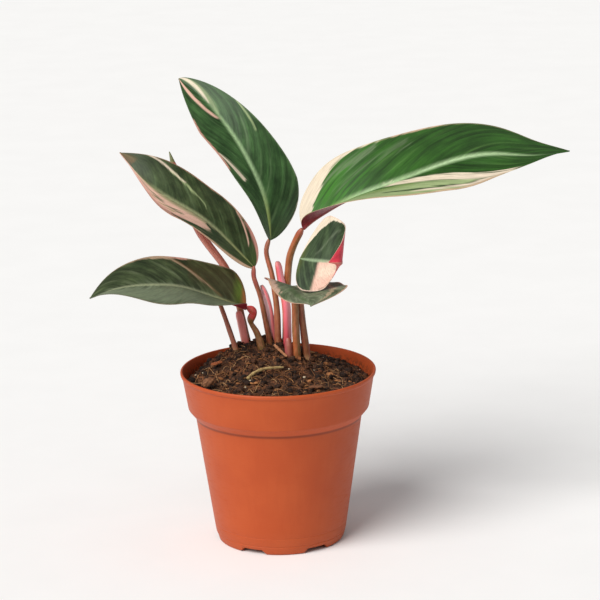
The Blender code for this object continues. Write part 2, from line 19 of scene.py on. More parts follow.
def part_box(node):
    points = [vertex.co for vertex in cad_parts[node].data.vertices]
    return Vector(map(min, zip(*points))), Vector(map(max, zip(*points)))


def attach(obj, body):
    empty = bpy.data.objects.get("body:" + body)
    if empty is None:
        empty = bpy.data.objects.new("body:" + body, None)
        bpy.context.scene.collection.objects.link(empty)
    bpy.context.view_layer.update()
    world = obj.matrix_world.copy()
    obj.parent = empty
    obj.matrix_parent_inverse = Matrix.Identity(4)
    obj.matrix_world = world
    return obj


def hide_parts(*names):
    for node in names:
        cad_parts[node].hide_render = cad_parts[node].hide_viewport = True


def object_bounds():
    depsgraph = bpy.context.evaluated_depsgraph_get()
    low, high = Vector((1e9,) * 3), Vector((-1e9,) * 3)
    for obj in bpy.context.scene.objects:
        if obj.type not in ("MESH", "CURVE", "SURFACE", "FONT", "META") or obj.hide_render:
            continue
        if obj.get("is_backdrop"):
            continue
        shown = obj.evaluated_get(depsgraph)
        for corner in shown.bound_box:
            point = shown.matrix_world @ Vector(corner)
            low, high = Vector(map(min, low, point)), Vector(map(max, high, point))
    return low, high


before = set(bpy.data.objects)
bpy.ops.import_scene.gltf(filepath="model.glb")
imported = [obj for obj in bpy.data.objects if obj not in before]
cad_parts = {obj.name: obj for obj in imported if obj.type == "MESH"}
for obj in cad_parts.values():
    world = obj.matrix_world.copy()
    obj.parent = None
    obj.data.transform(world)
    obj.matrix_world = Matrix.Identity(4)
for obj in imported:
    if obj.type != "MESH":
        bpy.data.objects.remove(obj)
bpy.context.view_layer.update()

LOG = logging.getLogger("stromanthe")
MM = 0.001
SEED = 41
SMOOTH_ANGLE_DEG = 50.0
PLACE_MAP = "place"  # the UV map: along a piece, and across or round it
VEIN_CURVE = 1.25  # how the side veins bend towards the tip, in the mesh and in the shader alike

Colour = tuple[float, float, float]
Point = tuple[float, float, float]
Pair = tuple[float, float]


def ink(red: int, green: int, blue: int) -> Colour:
    """A display colour from 0 to 255 as the linear colour that shaders take.

    Args:
        red: Red, from 0 to 255.
        green: Green, from 0 to 255.
        blue: Blue, from 0 to 255.

    Returns:
        The linear colour, each part from 0 to 1.
    """
    parts = []
    for value in (red, green, blue):
        share = value / 255.0
        parts.append(share / 12.92 if share <= 0.04045 else ((share + 0.055) / 1.055) ** 2.4)
    return (parts[0], parts[1], parts[2])


def shaded(colour: Colour, factor: float) -> Colour:
    """A colour made darker or lighter by a factor."""
    return (colour[0] * factor, colour[1] * factor, colour[2] * factor)


# --- curves and surfaces ---------------------------------------------------------------------


def natural_spline(knots: Sequence, values: Sequence, at: Sequence) -> np.ndarray:
    """Natural cubic spline through values at knots.

    Args:
        knots: Where the values are, rising.
        values: One number or one row of numbers for each knot.
        at: Where to read the spline.

    Returns:
        The spline's values at the places asked for.
    """
    knots = np.asarray(knots, float)
    values = np.asarray(values, float)
    at = np.asarray(at, float)
    count = len(knots)
    step = np.diff(knots)
    matrix = np.eye(count)
    right = np.zeros_like(values)
    slope = np.diff(values, axis=0) / step.reshape((-1,) + (1,) * (values.ndim - 1))
    for i in range(1, count - 1):
        matrix[i, i - 1 : i + 2] = step[i - 1], 2 * (step[i - 1] + step[i]), step[i]
        right[i] = 6 * (slope[i] - slope[i - 1])
    bend = np.linalg.solve(matrix, right)
    i = np.clip(np.searchsorted(knots, at) - 1, 0, count - 2)
    shape = (-1,) + (1,) * (values.ndim - 1)
    h = step[i].reshape(shape)
    a = (knots[i + 1] - at).reshape(shape) / h
    b = (at - knots[i]).reshape(shape) / h
    cubic = ((a**3 - a) * bend[i] + (b**3 - b) * bend[i + 1]) * h**2 / 6
    return a * values[i] + b * values[i + 1] + cubic


def unit(vectors: np.ndarray) -> np.ndarray:
    """The vectors made one long."""
    return vectors / np.maximum(np.linalg.norm(vectors, axis=-1, keepdims=True), 1e-12)


def smooth_path(points: Sequence, at: Sequence) -> tuple[np.ndarray, np.ndarray]:
    """Places and directions at shares of the length of a smooth curve.

    Args:
        points: Points that the curve passes through.
        at: Shares of its length, from 0 to 1.

    Returns:
        The places and the unit directions there.
    """
    points = np.asarray(points, float)
    chord = np.r_[0, np.cumsum(np.linalg.norm(np.diff(points, axis=0), axis=1))]
    fine = natural_spline(chord, points, np.linspace(0, chord[-1], 400))
    length = np.r_[0, np.cumsum(np.linalg.norm(np.diff(fine, axis=0), axis=1))]
    wanted = np.asarray(at) * length[-1]
    path = np.stack([np.interp(wanted, length, fine[:, k]) for k in range(3)], 1)
    tangent = np.gradient(fine, length, axis=0)
    direction = np.stack([np.interp(wanted, length, tangent[:, k]) for k in range(3)], 1)
    return path, unit(direction)


def frames_along(direction: np.ndarray, first: Sequence) -> tuple[np.ndarray, np.ndarray]:
    """Two directions across a path at each of its points, turning no more than they must.

    Args:
        direction: The path's unit directions.
        first: The direction that the first one across starts from.

    Returns:
        The two sets of directions across.
    """
    side = np.asarray(first, float)
    across = []
    for tangent in direction:
        side = side - (side @ tangent) * tangent
        side = side / np.linalg.norm(side)
        across.append(side)
    sides = np.array(across)
    return sides, np.cross(direction, sides)


def surface_normals(grid: np.ndarray) -> np.ndarray:
    """Unit normals of a grid of points, on the side that a blade's upper face has."""
    return unit(np.cross(np.gradient(grid, axis=1), np.gradient(grid, axis=0)))


def grid_faces(rows: int, columns: int, start: int = 0, closed: bool = False) -> np.ndarray:
    """Four-cornered faces between the rows of a grid of points.

    Args:
        rows: How many rows of points there are.
        columns: How many points there are in a row.
        start: Index of the grid's first point.
        closed: Whether each row runs round to its own start.

    Returns:
        Corner indices, one face in each row.
    """
    across = columns if closed else columns - 1
    i, j = np.meshgrid(np.arange(rows - 1), np.arange(across), indexing="ij")
    k = (j + 1) % columns
    corners = (i * columns + j, i * columns + k, (i + 1) * columns + k, (i + 1) * columns + j)
    return start + np.stack([c.ravel() for c in corners], 1)


def rim_order(rows: int, columns: int) -> list[int]:
    """The points round the edge of a grid, once round, from its first point.

    Args:
        rows: How many rows of points there are.
        columns: How many points there are in a row.

    Returns:
        The indices of the edge's points.
    """
    rim = [i * columns for i in range(rows)]
    rim += [(rows - 1) * columns + j for j in range(1, columns)]
    rim += [i * columns + columns - 1 for i in range(rows - 2, -1, -1)]
    return rim + list(range(columns - 2, 0, -1))


def spokes(across: np.ndarray, up: np.ndarray, turn: np.ndarray) -> np.ndarray:
    """Unit directions at angles round a path, one row for each of its points."""
    return across[:, None] * np.cos(turn)[..., None] + up[:, None] * np.sin(turn)[..., None]


@dataclass
class Shell:
    """Points, faces, map coordinates and material places of one mesh, as it grows."""

    points: list = field(default_factory=list)
    faces: list = field(default_factory=list)
    places: list = field(default_factory=list)
    slots: list = field(default_factory=list)
    count: int = 0

    def add(self, points: np.ndarray, faces: Sequence, places: np.ndarray, slot: int = 0) -> int:
        """Adds a patch.

        Args:
            points: Its points, in millimetres.
            faces: Its faces, counted from its own first point.
            places: A map coordinate for each point.
            slot: The material slot of its faces.

        Returns:
            The index of the patch's first point in the whole shell.
        """
        start = self.count
        points = np.asarray(points, float).reshape(-1, 3)
        self.points.append(points)
        self.places.append(np.asarray(places, float).reshape(-1, 2))
        self.faces.extend(tuple(int(i) + start for i in face) for face in faces)
        self.slots.extend([slot] * len(faces))
        self.count += len(points)
        return start

    def build(self, name: str, materials: Sequence[bpy.types.Material]) -> bpy.types.Object:
        """Makes the object, in metres.

        Args:
            name: The piece's name.
            materials: Its materials, in slot order.

        Returns:
            The new object.
        """
        mesh = bpy.data.meshes.new(name)
        mesh.from_pydata((np.concatenate(self.points) * MM).tolist(), [], self.faces)
        places = np.concatenate(self.places)
        layer = mesh.uv_layers.new(name=PLACE_MAP)
        corners = np.empty(len(mesh.loops), np.int32)
        mesh.loops.foreach_get("vertex_index", corners)
        layer.uv.foreach_set("vector", places[corners].astype(np.float32).ravel())
        mesh.polygons.foreach_set("material_index", np.array(self.slots, np.int32))
        for material in materials:
            mesh.materials.append(material)
        tidy_mesh(mesh)
        return linked(bpy.data.objects.new(name, mesh))


def linked(made: bpy.types.Object) -> bpy.types.Object:
    """The object, linked into the scene."""
    bpy.context.scene.collection.objects.link(made)
    return made


def tidy_mesh(mesh: bpy.types.Mesh) -> None:
    """Turns a mesh's faces outwards and smooths all but its sharp edges.

    Args:
        mesh: The mesh.
    """
    work = bmesh.new()
    work.from_mesh(mesh)
    bmesh.ops.recalc_face_normals(work, faces=work.faces)
    work.to_mesh(mesh)
    work.free()
    mesh.shade_smooth()
    mesh.set_sharp_from_angle(angle=math.radians(SMOOTH_ANGLE_DEG))


def declare(piece: bpy.types.Object, slot: str, *nodes: str) -> bpy.types.Object:
    """Rides a piece on the one body, and hides the CAD nodes that it replaces.

    Args:
        piece: The piece.
        slot: Not used.
        nodes: The CAD nodes that it replaces.

    Returns:
        The same piece.
    """
    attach(piece, "root")
    if nodes:
        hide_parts(*nodes)
    LOG.info("%s: %d faces", piece.name, len(piece.data.polygons))
    return piece


def tube_shell(
    shell: Shell,
    path: np.ndarray,
    direction: np.ndarray,
    radius: np.ndarray,
    sides: int,
    first: Sequence,
    slot: int = 0,
) -> None:
    """Adds a closed tube whose radius may differ at every point.

    Args:
        shell: The mesh that it is added to.
        path: Its middle line.
        direction: The unit directions along it.
        radius: One radius a row, or one for each point of each row.
        sides: Points in a row.
        first: The direction across in which its first point lies.
        slot: Its material slot.
    """
    across, up = frames_along(direction, first)
    turn = np.linspace(0, 2 * math.pi, sides, endpoint=False)
    reach = np.broadcast_to(np.asarray(radius, float).reshape(len(path), -1), (len(path), sides))
    points = path[:, None] + spokes(across, up, turn) * reach[..., None]
    share = np.broadcast_to(np.linspace(0, 1, len(path))[:, None], (len(path), sides))
    around = np.broadcast_to(np.abs(np.linspace(-1, 1, sides, endpoint=False))[None], share.shape)
    faces = grid_faces(len(path), sides, closed=True)
    start = shell.add(points, faces, np.stack([share, around], -1), slot)
    last = start + (len(path) - 1) * sides
    for ends in (range(start, start + sides), range(last, last + sides)):
        shell.faces.append(tuple(ends))
        shell.slots.append(slot)


def add_sandwich(
    shell: Shell,
    outer: np.ndarray,
    inner: np.ndarray,
    slots: tuple[int, int] = (0, 0),
    around: np.ndarray | None = None,
) -> None:
    """Adds two grids joined round their edges as one closed thin body.

    Args:
        shell: The mesh that they are added to.
        outer: The outer grid of points.
        inner: The inner grid, point for point.
        slots: The material slots of the outer and inner skins.
        around: The map's second coordinate at each point, if it isn't even across the grid.
    """
    rows, columns = outer.shape[:2]
    share = np.broadcast_to(np.linspace(0, 1, rows)[:, None], (rows, columns))
    if around is None:
        around = np.broadcast_to(np.linspace(0, 1, columns)[None], (rows, columns))
    place = np.stack([share, around], -1)
    first = shell.add(outer, grid_faces(rows, columns), place, slots[0])
    second = shell.add(inner, [face[::-1] for face in grid_faces(rows, columns)], place, slots[1])
    rim = rim_order(rows, columns)
    for one, two in zip(rim, rim[1:] + rim[:1]):
        shell.faces.append((first + one, first + two, second + two, second + one))
        shell.slots.append(slots[0])


# --- shader helpers --------------------------------------------------------------------------


class Tree:
    """Short calls for laying out the nodes of one shader tree."""

    def __init__(self, tree: bpy.types.NodeTree) -> None:
        """Keeps the tree that nodes are added to."""
        self.tree = tree

    def node(self, kind: str, **settings: object) -> bpy.types.Node:
        """Adds a node.

        Args:
            kind: The node's type.
            settings: Properties to set on it.

        Returns:
            The node.
        """
        made = self.tree.nodes.new(kind)
        for name, value in settings.items():
            setattr(made, name, value)
        return made

    def feed(self, socket: bpy.types.NodeSocket, value: object) -> None:
        """Links an output to an input, or sets the input's own value.

        Args:
            socket: The input.
            value: An output, a number or a colour.
        """
        if isinstance(value, bpy.types.NodeSocket):
            self.tree.links.new(value, socket)
        elif isinstance(value, tuple) and len(value) == 3 and socket.type == "RGBA":
            socket.default_value = (*value, 1.0)
        else:
            socket.default_value = value

    def math(self, operation: str, *values: object) -> bpy.types.NodeSocket:
        """One sum or function of up to three values.

        Args:
            operation: The Math node's operation.
            values: Numbers or outputs.

        Returns:
            The result.
        """
        made = self.node("ShaderNodeMath", operation=operation)
        for socket, value in zip(made.inputs, values):
            self.feed(socket, value)
        return made.outputs[0]

    def times(self, one: object, two: object) -> bpy.types.NodeSocket:
        """One value times another."""
        return self.math("MULTIPLY", one, two)

    def mix(
        self, share: object, first: object, second: object, blend: str = "MIX"
    ) -> bpy.types.NodeSocket:
        """One colour laid over another.

        Args:
            share: How much of the second shows.
            first: The colour below.
            second: The colour above.
            blend: The way that they mix.

        Returns:
            The mixed colour.
        """
        made = self.node("ShaderNodeMix", data_type="RGBA", blend_type=blend)
        self.feed(made.inputs[0], share)
        self.feed(made.inputs[6], first)
        self.feed(made.inputs[7], second)
        return made.outputs[2]

    def coat(self, colour: object, tint: object, mask: object, strength: object) -> bpy.types.NodeSocket:
        """A colour with a tint laid over it through a mask.

        Args:
            colour: The colour below.
            tint: The colour above.
            mask: Where the tint shows.
            strength: How much of it shows there.

        Returns:
            The coated colour.
        """
        return self.mix(self.times(mask, strength), colour, tint)

    def darkened(self, colour: object, factor: object) -> bpy.types.NodeSocket:
        """A colour times a grey factor, which may be over 1."""
        return self.mix(1.0, colour, self.grey(factor), "MULTIPLY")

    def span(
        self, value: object, low: object, high: object, to_low: float = 0.0, to_high: float = 1.0
    ) -> bpy.types.NodeSocket:
        """A smooth step of a value between two levels.

        Args:
            value: What is read.
            low: The level that gives to_low.
            high: The level that gives to_high.
            to_low: The result at and past the low end.
            to_high: The result at and past the high end.

        Returns:
            The stepped value.
        """
        made = self.node("ShaderNodeMapRange", interpolation_type="SMOOTHSTEP")
        for socket, each in zip(made.inputs, (value, low, high, to_low, to_high)):
            self.feed(socket, each)
        return made.outputs[0]

    def noise(
        self, vector: object, scale: float, detail: float = 3.0, rough: float = 0.55, twist: float = 0.0
    ) -> bpy.types.NodeSocket:
        """Cloudy noise from 0 to 1.

        Args:
            vector: Where it is read.
            scale: How fine it is.
            detail: How many finer layers it has.
            rough: How strong those are.
            twist: How far it is distorted.

        Returns:
            The noise.
        """
        made = self.node("ShaderNodeTexNoise", noise_dimensions="3D")
        self.feed(made.inputs["Vector"], vector)
        made.inputs["Scale"].default_value = scale
        made.inputs["Detail"].default_value = detail
        made.inputs["Roughness"].default_value = rough
        made.inputs["Distortion"].default_value = twist
        return made.outputs["Fac"]

    def stretched(
        self, first: object, second: object, scales: Pair, third: object = 0.0, detail: float = 3.0,
        rough: float = 0.55,
    ) -> bpy.types.NodeSocket:
        """Noise drawn out more one way than the other.

        Args:
            first: The first coordinate.
            second: The second coordinate.
            scales: How fine it is along each of the two.
            third: What moves the pattern away from others.
            detail: How many finer layers it has.
            rough: How strong those are.

        Returns:
            The noise.
        """
        place = self.join(self.times(first, scales[0]), self.times(second, scales[1]), third)
        return self.noise(place, 1.0, detail, rough)

    def join(self, x: object, y: object, z: object = 0.0) -> bpy.types.NodeSocket:
        """Three numbers as one vector.

        Args:
            x: The first number.
            y: The second.
            z: The third.

        Returns:
            The vector.
        """
        made = self.node("ShaderNodeCombineXYZ")
        for socket, value in zip(made.inputs, (x, y, z)):
            self.feed(socket, value)
        return made.outputs[0]

    def grey(self, value: object) -> bpy.types.NodeSocket:
        """One number as all three parts of a colour."""
        return self.join(value, value, value)

    def part(self, vector: object) -> tuple[bpy.types.NodeSocket, ...]:
        """A vector taken apart.

        Args:
            vector: The vector.

        Returns:
            Its three numbers.
        """
        made = self.node("ShaderNodeSeparateXYZ")
        self.feed(made.inputs[0], vector)
        return tuple(made.outputs)

    def place(self) -> tuple[bpy.types.NodeSocket, bpy.types.NodeSocket]:
        """The map coordinates of the piece.

        Returns:
            The place along it, and the place across or round it.
        """
        made = self.node("ShaderNodeUVMap", uv_map=PLACE_MAP)
        along, around, _ = self.part(made.outputs[0])
        return along, around

    def object_mm(self) -> bpy.types.NodeSocket:
        """The place on the object.

        Returns:
            The place, in millimetres.
        """
        made = self.node("ShaderNodeTexCoord")
        scaled = self.node("ShaderNodeVectorMath", operation="SCALE")
        self.feed(scaled.inputs[0], made.outputs["Object"])
        scaled.inputs["Scale"].default_value = 1.0 / MM
        return scaled.outputs[0]

    def bump(self, height: object, strength: float, distance_mm: float) -> bpy.types.NodeSocket:
        """A normal bent by a height.

        Args:
            height: The height, from 0 to 1.
            strength: How much of it shows.
            distance_mm: The real height of 1.

        Returns:
            The bent normal.
        """
        made = self.node("ShaderNodeBump")
        made.inputs["Strength"].default_value = strength
        made.inputs["Distance"].default_value = distance_mm * MM
        self.feed(made.inputs["Height"], height)
        return made.outputs[0]

    def use(self, group: "ShaderGroup", **values: object) -> object:
        """Places a shader group.

        Args:
            group: The group.
            values: Its inputs by name, with _ for a space.

        Returns:
            The group node's outputs.
        """
        made = self.node("ShaderNodeGroup", node_tree=group.tree)
        for name, value in values.items():
            self.feed(made.inputs[name.replace("_", " ").title()], value)
        return made.outputs


class ShaderGroup:
    """A node group with named sockets, built once and used by many materials."""

    name = ""
    inputs: tuple[tuple[str, float], ...] = ()
    outputs: tuple[str, ...] = ()

    def __init__(self) -> None:
        """Makes the group's sockets and lays out its nodes."""
        self.tree = bpy.data.node_groups.new(self.name, "ShaderNodeTree")
        face = self.tree.interface
        for label, value in self.inputs:
            kind = "NodeSocketVector" if label == "Position" else "NodeSocketFloat"
            socket = face.new_socket(name=label, in_out="INPUT", socket_type=kind)
            if label != "Position":
                socket.default_value = value
        for label in self.outputs:
            face.new_socket(name=label, in_out="OUTPUT", socket_type="NodeSocketFloat")
        pen = Tree(self.tree)
        given = pen.node("NodeGroupInput").outputs
        result = self.lay(pen, given)
        out = pen.node("NodeGroupOutput")
        for label, value in zip(self.outputs, result):
            pen.feed(out.inputs[label], value)

    def lay(self, pen: Tree, given: object) -> tuple[object, ...]:
        """Lays out the nodes, and returns what each output gives."""
        raise NotImplementedError


class LeafVeins(ShaderGroup):
    """Side veins that leave the midrib slantwise, and the pale midrib between them."""

    name = "leaf_veins"
    inputs = (("Along", 0.0), ("Across", 0.0), ("Sweep", 0.24), ("Count", 15.0), ("Rib Width", 0.06))
    outputs = ("Flow", "Ridge", "Vein", "Fine", "Rib", "Streaks", "Bands", "Mottle")

    def lay(self, pen: Tree, given: object) -> tuple[object, ...]:
        """Lays out the nodes.

        Args:
            pen: The tree that they go in.
            given: The group's inputs.

        Returns:
            The vein coordinate, the swelling between veins, the thin pale veins, the finest
            lines, the midrib, noise drawn out finely and broadly along the veins, and mottling.
        """
        along, across, sweep, count, rib = (given[label] for label, _ in self.inputs)
        away = pen.math("ABSOLUTE", across)
        slant = pen.times(pen.math("POWER", away, VEIN_CURVE), sweep)
        flow = pen.math("SUBTRACT", along, slant)
        side = pen.times(pen.math("SIGN", across), 7.3)
        wander = pen.noise(pen.join(pen.times(flow, 9.0), side, away), 1.0, 2.0)
        phase = pen.math("MULTIPLY_ADD", wander, 0.9, pen.times(flow, count))
        wave = pen.math("COSINE", pen.times(phase, 2 * math.pi))
        ridge = pen.math("MULTIPLY_ADD", wave, 0.5, 0.5)
        reach = pen.span(away, 1.0, 0.6)
        patchy = pen.noise(pen.join(pen.times(flow, 13.0), side, pen.times(away, 2.0)), 1.0, 2.0)
        shown = pen.times(reach, pen.span(patchy, 0.42, 0.66))
        vein = pen.times(pen.math("POWER", ridge, 6.0), shown)
        fine_wave = pen.math("COSINE", pen.times(phase, 2 * math.pi * 5.0))
        fine = pen.math("MULTIPLY_ADD", fine_wave, 0.5, 0.5)
        rib_mask = pen.span(away, rib, 0.0)
        streaks = pen.stretched(flow, across, (36.0, 1.8), side)
        bands = pen.stretched(flow, across, (15.0, 1.1), side, 2.0)
        mottle = pen.stretched(flow, across, (70.0, 9.0), side, 3.0, 0.6)
        return flow, ridge, vein, fine, rib_mask, streaks, bands, mottle


class LeafStroke(ShaderGroup):
    """One stroke of colour from place to place on a blade, ragged along the veins."""

    name = "leaf_stroke"
    inputs = (
        ("Along", 0.0), ("Across", 0.0), ("Streaks", 0.5),
        ("Start Along", 0.0), ("Start Across", 0.0), ("End Along", 1.0), ("End Across", 1.0),
        ("Bow", 1.0), ("Start Width", 0.1), ("End Width", 0.1), ("Thinning", 1.0),
        ("Ragged", 0.12), ("Feather", 0.035),
    )
    outputs = ("Mask",)

    def lay(self, pen: Tree, given: object) -> tuple[object, ...]:
        """Lays out the nodes.

        Args:
            pen: The tree that they go in.
            given: The group's inputs.

        Returns:
            The stroke's mask.
        """
        along, across, streaks, u0, a0, u1, a1, bow, w0, w1, thin, ragged, feather = (
            given[label] for label, _ in self.inputs
        )
        shake = pen.times(pen.math("SUBTRACT", streaks, 0.5), ragged)
        here = pen.math("MULTIPLY_ADD", shake, 0.35, along)
        run = pen.math("DIVIDE", pen.math("SUBTRACT", here, u0), pen.math("SUBTRACT", u1, u0))
        share = pen.math("MAXIMUM", pen.math("MINIMUM", run, 1.0), 0.0)
        bent = pen.math("POWER", share, bow)
        middle = pen.math("MULTIPLY_ADD", bent, pen.math("SUBTRACT", a1, a0), a0)
        left = pen.math("POWER", pen.math("SUBTRACT", 1.0, share), thin)
        grown = pen.times(pen.math("SUBTRACT", w0, w1), left)
        width = pen.math("ADD", grown, w1)
        off = pen.math("ABSOLUTE", pen.math("SUBTRACT", across, middle))
        off = pen.math("ADD", off, shake)
        body = pen.span(off, pen.math("ADD", width, feather), pen.math("SUBTRACT", width, feather))
        opens = pen.span(run, -0.04, 0.05)
        closes = pen.span(run, 1.04, 0.95)
        both = pen.times(opens, closes)
        exists = pen.span(width, 0.0, 0.012)
        return (pen.times(pen.times(body, both), exists),)


class LengthGrain(ShaderGroup):
    """Fibres drawn out along a stalk, sheath or root."""

    name = "length_grain"
    inputs = (("Along", 0.0), ("Around", 0.0), ("Length", 6.0), ("Fineness", 14.0), ("Shift", 0.0))
    outputs = ("Grain", "Lines", "Blotch")

    def lay(self, pen: Tree, given: object) -> tuple[object, ...]:
        """Lays out the nodes.

        Args:
            pen: The tree that they go in.
            given: The group's inputs.

        Returns:
            Long soft fibres, thin dark lines and short blotches.
        """
        along, around, length, fineness, shift = (given[label] for label, _ in self.inputs)
        x = pen.times(along, length)
        y = pen.times(around, fineness)
        grain = pen.noise(pen.join(x, y, shift), 1.0, 4.0, 0.6)
        lines = pen.stretched(x, y, (0.6, 2.6), shift, 2.0)
        blotch = pen.stretched(x, y, (3.0, 0.25), shift)
        return pen.span(grain, 0.3, 0.7), pen.span(lines, 0.56, 0.72), pen.span(blotch, 0.35, 0.7)


class Mottle(ShaderGroup):
    """Soft clouds, fine grain and scattered specks in millimetres of real size."""

    name = "mottle"
    inputs = (("Position", 0.0), ("Cloud", 0.05), ("Grain", 1.2), ("Speck", 0.35), ("Speck Share", 0.12))
    outputs = ("Clouds", "Grains", "Specks")

    def lay(self, pen: Tree, given: object) -> tuple[object, ...]:
        """Lays out the nodes.

        Args:
            pen: The tree that they go in.
            given: The group's inputs.

        Returns:
            Clouds, grain and specks, each from 0 to 1.
        """
        position, cloud, grain, speck, share = (given[label] for label, _ in self.inputs)
        found = []
        for scale, detail in ((cloud, 4.0), (grain, 3.0)):
            made = pen.node("ShaderNodeTexNoise", noise_dimensions="3D")
            pen.feed(made.inputs["Vector"], position)
            pen.feed(made.inputs["Scale"], scale)
            made.inputs["Detail"].default_value = detail
            found.append(made.outputs["Fac"])
        dots = pen.node("ShaderNodeTexVoronoi", feature="F1")
        pen.feed(dots.inputs["Vector"], position)
        pen.feed(dots.inputs["Scale"], speck)
        specks = pen.span(dots.outputs["Distance"], share, pen.times(share, 0.5))
        return pen.span(found[0], 0.3, 0.7), found[1], specks


@dataclass(frozen=True)
class Effects:
    """The shader groups that the finishes share."""

    veins: LeafVeins
    stroke: LeafStroke
    grain: LengthGrain
    mottle: Mottle

    @staticmethod
    def build() -> "Effects":
        """Builds each group once."""
        return Effects(LeafVeins(), LeafStroke(), LengthGrain(), Mottle())


def new_material(name: str) -> tuple[bpy.types.Material, Tree, bpy.types.Node]:
    """An empty material with one Principled shader.

    Args:
        name: The material's name.

    Returns:
        The material, its tree and the shader.
    """
    made = bpy.data.materials.new(name)
    made.use_nodes = True
    pen = Tree(made.node_tree)
    return made, pen, made.node_tree.nodes["Principled BSDF"]


def finish_with(
    pen: Tree, shader: bpy.types.Node, colour: object, rough: Sequence, relief: Sequence
) -> None:
    """Feeds a shader its colour, its roughness and its bent normal.

    Args:
        pen: The tree that it is in.
        shader: The shader.
        colour: The colour.
        rough: A mask, what all of it adds to the roughness, and the roughness without it.
        relief: A height, how much of it shows, and the real height of 1 in millimetres.
    """
    pen.feed(shader.inputs["Base Color"], colour)
    pen.feed(shader.inputs["Roughness"], pen.math("MULTIPLY_ADD", *rough))
    pen.feed(shader.inputs["Normal"], pen.bump(*relief))


# --- leaves ----------------------------------------------------------------------------------


class Ink(Enum):
    """The colours that a stromanthe leaf is painted in, on its upper side, with one painted sheen among
    them.
    """

    CREAM = ink(220, 204, 182)
    BLUSH = ink(218, 176, 158)
    PINK = ink(210, 150, 138)
    PALE = ink(150, 166, 118)
    LIME = ink(96, 122, 44)
    # painted sheen: a pale grey-green that stands in for light reflected off the glossy blade
    PAINTED_SHEEN = ink(118, 128, 104)
    BUFF = ink(190, 160, 132)
    STRAW = ink(172, 160, 124)
    UMBER = ink(64, 54, 30)
    MID = ink(70, 92, 56)
    DEEP = ink(44, 62, 34)
    BROWN = ink(112, 82, 52)
    RUST = ink(150, 88, 52)


UNDER_CREAM = ink(214, 120, 112)
UNDER_VEIN = ink(186, 84, 70)
UNDER_RIB = ink(168, 104, 84)
UNDER_MARGIN = ink(206, 128, 118)
CUP_REACH = 0.06  # share of the length over which a cupped base flattens out


@dataclass(frozen=True)
class Stroke:
    """A stroke of colour on a blade.

    Places are (share of the blade's length, place across it): -1 is the left margin, 0 the
    midrib and 1 the right margin. Widths are half widths in the same measure.
    """

    ink: Ink
    start: Pair
    end: Pair
    width: Pair
    bow: float = 1.0
    thinning: float = 1.0
    strength: float = 1.0
    ragged: float = 0.10
    feather: float = 0.035


